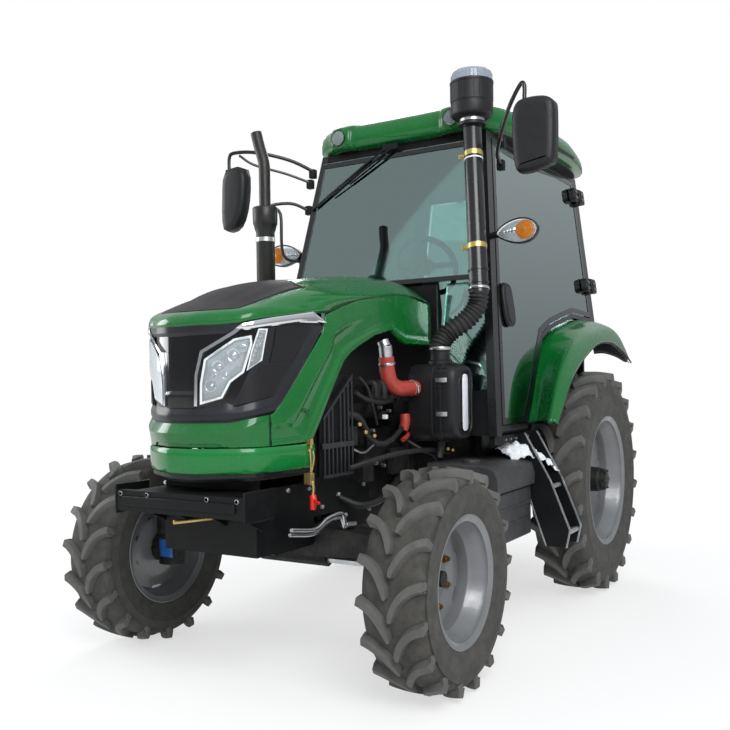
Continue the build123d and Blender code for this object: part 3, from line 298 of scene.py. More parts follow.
# The same enamel painted a tone lighter on the lower nose band: painted light.
GREEN_ENAMEL_PAINTED_LIGHT = Finish(
    "green_enamel_painted_light_band", "#0f6a2e", 0.26, ior=1.3, coat=0.45, grain_mm=3.5, grain_depth_mm=0.004,
    shade="#106f32", scuff=0.05,
)
# Black powder coat on plate and tube: low sheen with a fine pebble.
BLACK_POWDER = Finish(
    "black_powder_coat", "#0d0e0f", 0.46, ior=1.28, grain_mm=1.6, grain_depth_mm=0.05, shade="#131415", scuff=0.16,
)
# Sprayed black on castings: rough sand skin under the paint, with dust in patches.
BLACK_CASTING = Finish(
    "black_painted_casting", "#0f1010", 0.55, ior=1.4, grain_mm=2.6, grain_depth_mm=0.22, shade="#151515",
    dust=0.10, scuff=0.2,
)
# Black satin enamel of the cab frame.
BLACK_SATIN = Finish(
    "black_satin_enamel", "#0a0b0c", 0.28, ior=1.4, coat=0.3, grain_mm=3.0, grain_depth_mm=0.01, shade="#131416",
    scuff=0.08,
)
# Moulded ABS, fine matt grain.
BLACK_ABS = Finish(
    "black_moulded_abs", "#111214", 0.46, ior=1.42, grain_mm=1.2, grain_depth_mm=0.06, shade="#151618", scuff=0.12,
)
# Blow-moulded grey-black polyethylene of tank and step boxes.
GREY_POLYETHYLENE = Finish(
    "grey_black_polyethylene", "#2b2c2e", 0.55, grain_mm=2.0, grain_depth_mm=0.08, shade="#303133", dust=0.12,
    scuff=0.15,
)
# Gloss piano-black insert of the nose mask.
BLACK_GLOSS = Finish(
    "black_gloss_insert", "#070708", 0.12, ior=1.4, coat=0.5, grain_mm=4.0, grain_depth_mm=0.004, scuff=0.05,
)
# Graphite-grey satin moulding around the mask.
GRAPHITE_SATIN = Finish(
    "graphite_satin_moulding", "#1b1c20", 0.36, ior=1.35, coat=0.1, grain_mm=2.0, grain_depth_mm=0.02,
    shade="#1f2024", scuff=0.08,
)
# Graphite film on the bonnet's top, with a fine woven relief.
GRAPHITE_FILM = Finish(
    "graphite_bonnet_film", "#242223", 0.5, ior=1.25, grain_mm=1.5, grain_depth_mm=0.03, shade="#302e2f",
    scuff=0.08,
)
# Bright chrome plate on plastic trim.
CHROME = Finish("chrome_plated_trim", "#e4e6e8", 0.08, metallic=1.0, grain_mm=6.0, grain_depth_mm=0.004, scuff=0.04)
# Silver wheel enamel: half metallic, softly mottled, with a little dust.
WHEEL_SILVER = Finish(
    "silver_wheel_enamel", "#787a7c", 0.38, metallic=0.25, coat=0.3, grain_mm=1.8, grain_depth_mm=0.02,
    shade="#6e7072", scuff=0.12, dust=0.04,
)
# Vulcanised tread rubber, matt with mould bloom and dust in patches.
TYRE_CASING = Finish(
    "tyre_rubber_casing", "#333330", 0.8, grain_mm=2.4, grain_depth_mm=0.3, shade="#3f3e3b", shade_mm=60, dust=0.16,
    scuff=0.1,
)
# The lugs' faces are the same rubber painted a little paler, as painted light on them, and a little smoother.
TYRE_LUG_PAINTED_LIGHT = Finish(
    "tyre_rubber_lug_painted_light", "#4a4b48", 0.62, grain_mm=2.4, grain_depth_mm=0.2, shade="#555552", shade_mm=60, dust=0.12,
    scuff=0.1,
)
# Yellow-passivated zinc: warm iridescent metal.
YELLOW_ZINC = Finish(
    "yellow_zinc_steel", "#c9a860", 0.32, metallic=0.9, grain_mm=2.0, grain_depth_mm=0.03, shade="#b8b078",
    shade_mm=20, scuff=0.15,
)
# Bright zinc on bolts, clips and clamps.
BRIGHT_ZINC = Finish(
    "bright_zinc_steel", "#c8cacc", 0.3, metallic=0.95, grain_mm=1.5, grain_depth_mm=0.03, shade="#b4b6b8",
    shade_mm=20, scuff=0.15,
)
# Gold-brown phosphated wheel nuts.
BRONZE_NUT = Finish(
    "bronze_wheel_nut", "#8a6a33", 0.38, metallic=0.85, grain_mm=1.5, grain_depth_mm=0.05, shade="#6f5430",
    shade_mm=15, scuff=0.15,
)
# Red silicone hose with faint wrap marks.
RED_SILICONE = Finish(
    "red_silicone_hose", "#9a3229", 0.4, coat=0.1, grain_mm=3.0, grain_depth_mm=0.06, shade="#a63b31", shade_mm=60,
    scuff=0.12,
)
# Black EPDM rubber of hoses, seals and bellows.
BLACK_RUBBER = Finish(
    "black_epdm_rubber", "#161617", 0.58, grain_mm=1.6, grain_depth_mm=0.06, shade="#1d1d1e", scuff=0.14,
)
# Heat-proof black of the exhaust stack.
STACK_BLACK = Finish(
    "stack_heatproof_black", "#1a1a1c", 0.4, metallic=0.2, grain_mm=1.5, grain_depth_mm=0.05, shade="#26241f",
    scuff=0.16,
)
# Red moulded grip.
RED_GRIP = Finish("red_pvc_grip", "#d3271b", 0.35, grain_mm=2.0, grain_depth_mm=0.03, scuff=0.1)
# Bare galvanised tread plate and rails.
GALVANISED = Finish(
    "galvanised_sheet", "#a9adb0", 0.38, metallic=0.7, grain_mm=8.0, grain_depth_mm=0.02, shade="#8d9194",
    shade_mm=25, scuff=0.2,
)
# Blank blue film on the axle housing.
BLUE_FILM = Finish(
    "blue_pvc_film", "#1d5aa8", 0.45, grain_mm=5.0, grain_depth_mm=0.2, shade="#2b6bb8", shade_mm=40, scuff=0.12,
)
# Blank white film labels.
WHITE_FILM = Finish(
    "white_pvc_film", "#dfe2e6", 0.4, grain_mm=5.0, grain_depth_mm=0.05, shade="#d2d6da", shade_mm=30,
)
# Fine-grained dark insets of the mask.
BLACK_INSET = Finish(
    "black_grained_inset", "#0e0e10", 0.5, ior=1.4, grain_mm=1.0, grain_depth_mm=0.08, shade="#121214", scuff=0.08,
)
# Pale translucent edge moulding of the headlamps, frosted.
LAMP_EDGE = Finish("frosted_lamp_edge", "#d3d8da", 0.25, coat=0.4, grain_mm=5.0, grain_depth_mm=0.01, scuff=0.06)
# Mirror glass: silvered.
SILVERED_GLASS = Finish(
    "silvered_mirror_glass", "#dfe5e8", 0.03, metallic=1.0, grain_mm=20.0, grain_depth_mm=0.001, scuff=0.01,
)
# Teal-tinted safety glass of the cab.
CAB_GLASS = Pane("tinted_safety_glass", "#cfe6e2", 0.02, ior=1.7, tint="#c9e4df", clearness=0.76, mirrored=True)
# Toughened door glass, which mirrors the open sky at a slant.
DOOR_GLASS = Pane("toughened_door_glass", "#e2f0ee", 0.02, ior=1.7, tint="#d6ebe7", clearness=0.62, mirrored=True)
# Polycarbonate lamp lens, clear with fluting.
CLEAR_LENS = Pane("clear_polycarbonate_lens", "#dde3e6", 0.05, ior=1.58, tint="#eef2f3", clearness=0.85)
# Amber polycarbonate.
AMBER_LENS = Pane("amber_polycarbonate_lens", "#e08a2a", 0.1, ior=1.58, tint="#ffb05a", clearness=0.5)
# Smoky blue bowl of the precleaner.
BOWL_LENS = Pane("smoky_polycarbonate_bowl", "#b6c0cc", 0.08, ior=1.58, tint="#bcc8d8", clearness=0.5)
# Vacuum-metallised reflector.
REFLECTOR = Finish(
    "metallised_reflector", "#d9dde0", 0.16, metallic=1.0, grain_mm=9.0, grain_depth_mm=0.8, shade="#c3c9ce",
    shade_mm=12, scuff=0.06,
)
# Woven seat cloth over foam.
SEAT_CLOTH = Finish(
    "woven_seat_cloth", "#1b1c1f", 0.9, grain_mm=1.4, grain_depth_mm=0.35, shade="#232429", shade_mm=50, scuff=0.06,
)


class Form:
    """Gathers the mesh parts of one piece, in the tractor's frame."""

    def __init__(self) -> None:
        """Starts empty."""
        self.points: list[Vector] = []
        self.faces: list[tuple[int, ...]] = []

    def grid(
        self, rows: Sequence[Sequence[Vector]], ring: bool = False, caps: bool = False, loop: bool = False,
    ) -> "Form":
        """Adds a skin over rows of points.

        Args:
            rows: Rows of as many points each.
            ring: Whether each row closes on itself.
            caps: Whether the first and last rows are filled.
            loop: Whether the last row joins the first.

        Returns:
            This form.
        """
        base, n = len(self.points), len(rows[0])
        for row in rows:
            self.points.extend(Vector(p) for p in row)
        for i in range(len(rows) if loop else len(rows) - 1):
            k = (i + 1) % len(rows)
            for j in range(n if ring else n - 1):
                m = (j + 1) % n
                self.faces.append((base + i * n + j, base + i * n + m, base + k * n + m, base + k * n + j))
        if caps:
            self.faces.append(tuple(base + j for j in reversed(range(n))))
            self.faces.append(tuple(base + (len(rows) - 1) * n + j for j in range(n)))
        return self

    def prism(self, outline: Sequence[Point], push: Point) -> "Form":
        """Adds a flat outline of 3-D points and the same outline pushed along a vector, joined."""
        push = Vector(push)
        return self.grid([[Vector(p) for p in outline], [Vector(p) + push for p in outline]], ring=True, caps=True)

    def box(self, low: Point, high: Point) -> "Form":
        """Adds a box between two corners."""
        (x0, y0, z0), (x1, y1, z1) = low, high
        return self.prism([(x0, y0, z0), (x1, y0, z0), (x1, y1, z0), (x0, y1, z0)], (0, 0, z1 - z0))

    def lathe(
        self, centre: Point, axis: Point, profile: Table, sides: int = 48, closed: bool = False, caps: bool = True,
    ) -> "Form":
        """Adds a turned form.

        Args:
            centre: A point on the axis.
            axis: The direction of the axis.
            profile: (distance along the axis, radius) pairs.
            sides: Steps round the axis.
            closed: Whether the profile's end joins its start.
            caps: Whether the ends are filled.

        Returns:
            This form.
        """
        axis = Vector(axis).normalized()
        across = axis.orthogonal().normalized()
        up = axis.cross(across)
        rows = []
        for along, radius in profile:
            middle = Vector(centre) + axis * along
            rows.append([middle + (across * math.cos(t) + up * math.sin(t)) * radius for t in turns(sides)])
        return self.grid(rows, ring=True, caps=caps and not closed, loop=closed)

    def bar(self, start: Point, end: Point, radius: float, sides: int = 20, top: float | None = None) -> "Form":
        """Adds a round bar, or a cone where top gives the far end's radius.

        Args:
            start: The middle of its first end.
            end: The middle of its far end.
            radius: The first end's radius.
            sides: Steps round it.
            top: The far end's radius, where it differs.

        Returns:
            This form.
        """
        start, end = Vector(start), Vector(end)
        return self.lathe(start, end - start, [(0, radius), (
            (end - start).length, radius if top is None else top,
        )], sides)

    def tube(
        self, points: Sequence[Point], radius: float | Callable[[float], float], sides: int = 14, smooth: int = 6,
        caps: bool = True,
    ) -> "Form":
        """Adds a tube along a curve through points.

        Args:
            points: Points that the tube passes through.
            radius: Its radius, or a function of the share of the length.
            sides: Steps round it.
            smooth: Steps between two points; 1 keeps straight runs.
            caps: Whether the ends are filled.

        Returns:
            This form.
        """
        path = spline([Vector(p) for p in points], smooth)
        across = (path[1] - path[0]).orthogonal().normalized()
        rows = []
        for i, here in enumerate(path):
            ahead = (path[min(i + 1, len(path) - 1)] - path[max(i - 1, 0)]).normalized()
            across = (across - ahead * across.dot(ahead)).normalized()
            up = ahead.cross(across)
            r = radius(i / (len(path) - 1)) if callable(radius) else radius
            rows.append([here + (across * math.cos(t) + up * math.sin(t)) * r for t in turns(sides)])
        return self.grid(rows, ring=True, caps=caps)

    def mirrored(self) -> "Form":
        """Adds this form's mirror image across the middle of the tractor.

        Returns:
            This form.
        """
        base = len(self.points)
        self.points.extend(Vector((-p.x, p.y, p.z)) for p in self.points[:base])
        self.faces.extend(tuple(base + i for i in reversed(face)) for face in self.faces[:])
        return self

    def on(self, side: Side) -> "Form":
        """This form for a side, given that it was built for the left."""
        return self if side is Side.LEFT else self.flipped()

    def flipped(self) -> "Form":
        """This form's mirror image alone, as a new form.

        Returns:
            The new form.
        """
        other = Form()
        other.points = [Vector((-p.x, p.y, p.z)) for p in self.points]
        other.faces = [tuple(reversed(face)) for face in self.faces]
        return other

    def piece(
        self, name: str, finish: Finish, body: str = "chassis", bevel: float = 0.0, steps: int = 2,
        angle: float = 35.0, levels: int = 0, thick: float = 0.0,
    ) -> bpy.types.Object:
        """Makes the piece and sets it on its body.

        Args:
            name: The piece's name.
            finish: What it is made of.
            body: The body that it rides on.
            bevel: Width of the rounding on its sharp edges.
            steps: Steps in each rounding.
            angle: Edges sharper than this many degrees stay sharp.
            levels: Subdivision levels.
            thick: Thickness of a sheet, laid on its inner side.

        Returns:
            The new object.
        """
        mesh = bpy.data.meshes.new(name)
        mesh.from_pydata([tuple(p) for p in self.points], [], self.faces)
        mesh.validate()
        made = bpy.data.objects.new(name, mesh)
        bpy.context.scene.collection.objects.link(made)
        mesh.materials.append(finish.material())
        if thick:
            wall = made.modifiers.new("sheet", "SOLIDIFY")
            wall.thickness, wall.offset = thick, -1.0
        if bevel:
            round_edges(made, bevel, steps, 28)
        if levels:
            soft = made.modifiers.new("subdivision", "SUBSURF")
            soft.levels = soft.render_levels = levels
        mesh.shade_smooth()
        mesh.set_sharp_from_angle(angle=math.radians(angle))
        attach(made, body)
        LOG.info("%s on %s: %d faces", name, body, len(self.faces))
        return made


def bend(a: Vector, b: Vector, c: Vector, d: Vector, t: float) -> Vector:
    """The point at a share of the way from b to c, on a smooth curve that comes from a and goes on to d."""
    return 0.5 * (2 * b + (c - a) * t + (2 * a - 5 * b + 4 * c - d) * t**2 + (3 * b - a - 3 * c + d) * t**3)


def spline(points: Sequence[Vector], steps: int) -> list[Vector]:
    """A smooth curve through points.

    Args:
        points: The points that it passes through.
        steps: Steps between two points; 1 keeps them as they are.

    Returns:
        The points of the curve.
    """
    if steps <= 1 or len(points) < 3:
        return list(points)
    ends = [2 * points[0] - points[1], *points, 2 * points[-1] - points[-2]]
    path = []
    for a, b, c, d in zip(ends, ends[1:], ends[2:], ends[3:]):
        for i in range(steps):
            t = i / steps
            path.append(bend(a, b, c, d, t))
    return path + [points[-1]]


def dress(nodes: Iterable[str], finish: Finish) -> None:
    """Gives CAD nodes a finish.

    Args:
        nodes: Their names.
        finish: What they are made of.
    """
    for name in nodes:
        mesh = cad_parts[name].data
        mesh.materials.clear()
        mesh.materials.append(finish.material())
        round_edges(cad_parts[name], 0.002, 2, 35)
        LOG.info("%s: %s", name, finish.name)


def mm(x: float, station: float, z: float) -> Vector:
    """The point at a station, given in millimetres."""
    return at(x / 1000, station / 1000, z / 1000)


def between(table: Table, place: float) -> float:
    """Reads a table of (place, value) pairs, with straight runs between them.

    Args:
        table: The pairs, in order of place.
        place: Where it is read.

    Returns:
        The value there.
    """
    if place <= table[0][0]:
        return table[0][1]
    for (a, low), (b, high) in zip(table, table[1:]):
        if place <= b:
            return low + (high - low) * (place - a) / ((b - a) or 1)
    return table[-1][1]


def smooth_between(table: Table, place: float) -> float:
    """Reads a table of (place, value) pairs along a smooth curve through them.

    Args:
        table: The pairs, in order of place.
        place: Where it is read.

    Returns:
        The value there.
    """
    if place <= table[0][0]:
        return table[0][1]
    if place >= table[-1][0]:
        return table[-1][1]
    slopes = []
    for i in range(len(table)):
        (a, low), (b, high) = table[max(i - 1, 0)], table[min(i + 1, len(table) - 1)]
        slopes.append((high - low) / (b - a))
    for i, ((a, low), (b, high)) in enumerate(zip(table, table[1:])):
        if place <= b:
            w, t = b - a, (place - a) / (b - a)
            return (
                low * (1 + 2 * t) * (1 - t) ** 2 + high * t * t * (3 - 2 * t)
                + slopes[i] * w * t * (1 - t) ** 2 - slopes[i + 1] * w * t * t * (1 - t)
            )
    return table[-1][1]


def steps_over(low: float, high: float, step: float, stops: Iterable[float] = ()) -> list[float]:
    """Places from low to high no more than a step apart, with the given stops among them.

    Args:
        low: The first place.
        high: The last place.
        step: The longest step.
        stops: Places that have to be among them.

    Returns:
        The places in order.
    """
    marks = sorted({low, high, *[s for s in stops if low < s < high]})
    places = [low]
    for a, b in zip(marks, marks[1:]):
        n = max(1, math.ceil((b - a) / step))
        places += [a + (b - a) * i / n for i in range(1, n + 1)]
    return places


@dataclass(frozen=True)
class NoseFace:
    """The upright surface round the tractor's nose. A place on it is (along, height) in millimetres.

    along runs round the nose from its middle, positive to the left.
    """

    along_x: Table = ((0, 0), (74, 74), (203, 190), (332, 289), (525, 330), (760, 348), (1066, 350), (1766, 350))
    along_station: Table = (
        (0, -2774), (74, -2768), (203, -2712), (332, -2629), (525, -2440), (760, -2206), (1066, -1900),
        (1766, -1200),
    )

    def spot(self, along: float, z: float, out: float = 0.0) -> Vector:
        """The point at a place, so many millimetres out from the surface.

        Args:
            along: How far round the nose, positive to the left.
            z: The height.
            out: How far out from the surface.

        Returns:
            The point.
        """
        hand, a = (1 if along >= 0 else -1), abs(along)
        x, s = smooth_between(self.along_x, a), smooth_between(self.along_station, a)
        dx = smooth_between(self.along_x, a + 6) - smooth_between(self.along_x, max(a - 6, 0))
        ds = smooth_between(self.along_station, a + 6) - smooth_between(self.along_station, max(a - 6, 0))
        if a < 6:
            dx, ds = 1.0, 0.0
        away = Vector((ds, -dx)).normalized()
        return mm(hand * (x + away.x * out), s + away.y * out, z)

    def outward(self, along: float, z: float) -> Vector:
        """The way out from the surface at a place."""
        return (self.spot(along, z, 10) - self.spot(along, z, 0)).normalized()

    def along_at(self, station: float) -> float:
        """The place round the nose that lies at a station on the left side.

        Args:
            station: The station.

        Returns:
            How far round the nose it lies.
        """
        low, high = 203.0, 1766.0
        for _ in range(24):
            middle = (low + high) / 2
            ahead = smooth_between(self.along_station, middle) < station
            low, high = (middle, high) if ahead else (low, middle)
        return low

    def slab(
        self, form: Form, top: Table, low: Table, out: float, depth: float, relief: Table = (), step: float = 16.0,
        rows: int = 6,
    ) -> Form:
        """Adds a plate on the surface between two edges over the same run.

        Args:
            form: The form that it is added to.
            top: The upper edge as places.
            low: The lower edge as places.
            out: How far its face stands out.
            depth: Its thickness.
            relief: (share of the height from the lower edge, extra millimetres out) pairs.
            step: Longest step along it.
            rows: Steps up its height.

        Returns:
            The form.
        """
        start, end = min(top[0][0], low[0][0]), max(top[-1][0], low[-1][0])
        shares = sorted({i / rows for i in range(rows + 1)} | {share for share, _ in relief})
        rings = []
        for a in steps_over(start, end, step, [p[0] for p in (*top, *low)]):
            z0, z1 = between(low, a), between(top, a)
            z1 = max(z1, z0 + 0.4)
            face = [self.spot(a, z0 + (z1 - z0) * s, out + (between(relief, s) if relief else 0)) for s in shares]
            back = [self.spot(a, z1, out - depth), self.spot(a, z0, out - depth)]
            rings.append(face + back)
        return form.grid(rings, ring=True, caps=True)

    def ribbon(
        self, form: Form, path: Table, width: float | Sequence[float], out: float, depth: float,
        closed: bool = False,
    ) -> Form:
        """Adds a strip along a path of places, of one width or of a width at each place.

        Args:
            form: The form that it is added to.
            path: The places that it runs through.
            width: Its width, or one width for each place.
            out: How far its face stands out.
            depth: Its thickness.
            closed: Whether its end joins its start.

        Returns:
            The form.
        """
        places = [Vector(p) for p in path]
        n = len(places)
        rings = []
        for i, here in enumerate(places):
            before = places[i - 1] if (closed or i) else here
            after = places[(i + 1) % n] if (closed or i < n - 1) else here
            ahead = ((here - before).normalized() if (here - before).length else Vector((0, 0)))
            onward = ((after - here).normalized() if (after - here).length else Vector((0, 0)))
            way = (ahead + onward).normalized()
            side = Vector((-way.y, way.x))
            w = width if isinstance(width, (int, float)) else width[i]
            lean = max(abs(way.dot(ahead if ahead.length else onward)), 0.5)
            a, b = here + side * w / 2 / lean, here - side * w / 2 / lean
            rings.append([
                self.spot(a.x, a.y, out), self.spot(b.x, b.y, out), self.spot(b.x, b.y, out - depth),
                self.spot(a.x, a.y, out - depth),
            ])
        return form.grid(rings, ring=True, caps=not closed, loop=closed)


NOSE = NoseFace()


def both(places: Table) -> list[tuple[float, float]]:
    """A left half edge with its mirror image."""
    return [(-a, z) for a, z in reversed(places) if a] + list(places)


@dataclass(frozen=True)
class Bonnet:
    """The smooth green bonnet with its graphite panel, side creases and rolled arch lips, in millimetres.

    half is its half width, and brink the station of the middle where its top starts to fall to the mask.
    """

    half: float = 349.0
    brink: float = -2700.0
    crown: Table = (
        (-2774, 1532), (-2771, 1549), (-2760, 1569), (-2735, 1587), (-2700, 1601), (-2600, 1640), (-2335, 1741),
        (-1908, 1803), (-1544, 1847), (-1195, 1860),
    )
    panel_half: Table = ((0, 208), (0.12, 232), (0.45, 250), (0.8, 252), (1.0, 226))
    panel_tail: Table = ((0, 0), (0.45, 0), (1.0, -150))
    seam: Table = (
        (-2240, 1594), (-2214, 1599), (-1992, 1668), (-1725, 1712), (-1544, 1733), (-1322, 1729), (-1195, 1706),
    )
    pull: Table = ((-2774, 1.0), (-2500, 0.93), (-2100, 0.45), (-1750, 0.0))
    bow: Table = ((0, 0), (74, 6), (190, 62), (289, 145), (330, 334), (349, 560))
    lip: Table = ((0, 1532), (0.45, 1535), (0.7, 1541), (0.88, 1563), (0.97, 1592), (1.0, 1600))
    # The side's upper and lower edges, paired from its rear end to its front
    side_edges: Sequence[tuple[Point, Point]] = (
        ((-1197, 1702), (-1197, 1479)), ((-1450, 1730), (-1491, 1483)), ((-1544, 1729), (-1560, 1506)),
        ((-1650, 1720), (-1636, 1548)), ((-1800, 1698), (-1800, 1516)), ((-1950, 1674), (-1950, 1461)),
        ((-2090, 1636), (-2030, 1425)), ((-2212, 1594), (-2083, 1389)), ((-2240, 1515), (-2128, 1335)),
        ((-2330, 1420), (-2170, 1280)), ((-2440, 1300), (-2222, 1205)), ((-2552, 1181), (-2328, 1047)),
        ((-2562, 1176), (-2400, 1046)), ((-2569, 1173), (-2480, 1045)), ((-2573, 1172), (-2571, 1044)),
    )
    plain: Table = ((0, 0), (0.06, 1), (0.4, 5), (0.72, 3), (0.80, 1), (0.86, 8), (0.97, 8), (1, -8))
    creased: Table = (
        (0, -1), (0.06, 1), (0.36, 10), (0.42, 9), (0.47, -1), (0.62, -6), (0.78, -3), (0.85, 9), (0.97, 9),
        (1, -8),
    )
    arm: Table = ((0, -1), (0.06, 1), (0.3, 6), (0.5, 2), (0.78, 1), (0.86, 4), (0.97, 4), (1, -2))

    def top_point(self, crown: float, share: float, lift: float = 0.0) -> Vector:
        """A point of the top: the row that meets the middle at a station, and a share of the half width.

        Args:
            crown: The station where the point's row meets the middle.
            share: The share of the half width, negative to the right.
            lift: How far over the skin.

        Returns:
            The point.
        """
        x, flat = self.half * share, max(crown, self.brink)
        bow = smooth_between(self.pull, crown)
        s = crown + bow * smooth_between(self.bow, abs(x))
        zc = smooth_between(self.crown, flat)
        ze = smooth_between(self.seam, flat + smooth_between(self.pull, flat) * 560)
        z = zc + (ze - zc) * abs(share) ** 2.1
        z += 7 * max(0.0, 1 - abs(abs(share) - 0.47) / 0.12) * between([
            (-2700, 0), (-2500, 1), (-1900, 1), (-1400, 0),
        ], crown)
        if crown < self.brink:
            fall = (1601 - smooth_between(self.crown, crown)) / 69
            z += fall * (between(self.lip, abs(share)) - z)
        return mm(x, s, z + lift)

    def top(self) -> Form:
        """The top skin.

        Returns:
            The skin as a form.
        """
        stations = steps_over(-2774, -1197, 40, [-2771, -2766, -2760, -2750, -2735, -2718, -2700])
        shares = [i / 20 - 1 for i in range(41)]
        return Form().grid([[self.top_point(c, s) for s in shares] for c in stations])

    def panel(self) -> Form:
        """The graphite film panel over the middle of the top, pointed at its rear corners.

        Returns:
            The film as a form.
        """
        rows = []
        for i in range(61):
            share = i / 60
            crown = -2716 + (2716 - 2168) * share
            half = between(self.panel_half, share)
            rows.append([
                self.top_point(crown + between(self.panel_tail, abs(k)) * share**8, k * half / self.half, 1.6)
                for k in (j / 12 - 1 for j in range(25))
            ])
        return Form().grid(rows)

    def side(self) -> Form:
        """The left side panel with its crease, scoop and rolled lip, as far forward as its seam with the nose.

        Returns:
            The left panel as a form.
        """
        rows = []
        shares = sorted([i / 28 for i in range(29)] + [0.985])
        last = len(self.side_edges) - 1
        for i in (k / 6 for k in range(6 * last + 1)):
            j = min(int(i), last - 1)
            f = i - j
            up = Vector(self.side_edges[j][0]).lerp(Vector(self.side_edges[j + 1][0]), f)
            low = Vector(self.side_edges[j][1]).lerp(Vector(self.side_edges[j + 1][1]), f)
            row = []
            creased = between([(4.5, 0), (7, 1), (10.6, 1), (11.6, 0)], i)
            arm = between([(10.6, 0), (11.6, 1)], i)
            for v in shares:
                p = up.lerp(low, v)
                along = NOSE.along_at(p.x)
                out = (
                    between(self.plain, v) * (1 - creased) + between(self.creased, v) * creased
                ) * (1 - arm) + between(self.arm, v) * arm
                row.append(NOSE.spot(along, p.y, out))
            rows.append(row)
        return Form().grid([row[::-1] for row in rows])

    def build(self) -> None:
        """Builds the bonnet."""
        top = self.top().piece("bonnet_top", GREEN_ENAMEL, "bonnet", angle=50, thick=0.004)
        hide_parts("bonnet")
        side = self.side()
        for place in Side:
            made = side.on(place).piece(f"bonnet_side_{place.word}", GREEN_ENAMEL, "bonnet", angle=40, thick=0.004)
        self.panel().piece("bonnet_panel", GRAPHITE_FILM, "bonnet", angle=30, thick=0.001)
        edge = [self.top_point(c, 0.998, -3) for c in steps_over(-2766, -1200, 45)]
        Form().tube(edge, 0.0028, 8, 1).mirrored().piece("bonnet_seams", BLACK_RUBBER, "bonnet")
        lugs = Form()
        for x in (-160, 140):
            lugs.prism([
                mm(x, -1255, 1812), mm(x, -1202, 1812), mm(x, -1165, 1797), mm(x, -1165, 1763), mm(x, -1195, 1763),
            ], (0.02, 0, 0))
        lugs.piece("bonnet_hinge_plates", BLACK_POWDER, "bonnet", bevel=0.002)
        dimple = Form()
        NOSE.ribbon(dimple, [
            (NOSE.along_at(-2360) + 14 * math.cos(t * math.pi / 10), 1180 + 7 * math.sin(t * math.pi / 10))
            for t in range(20)
        ], 3, 7, 6, closed=True)
        dimple.mirrored().piece("bonnet_dimples", GREEN_ENAMEL, "bonnet", angle=60)


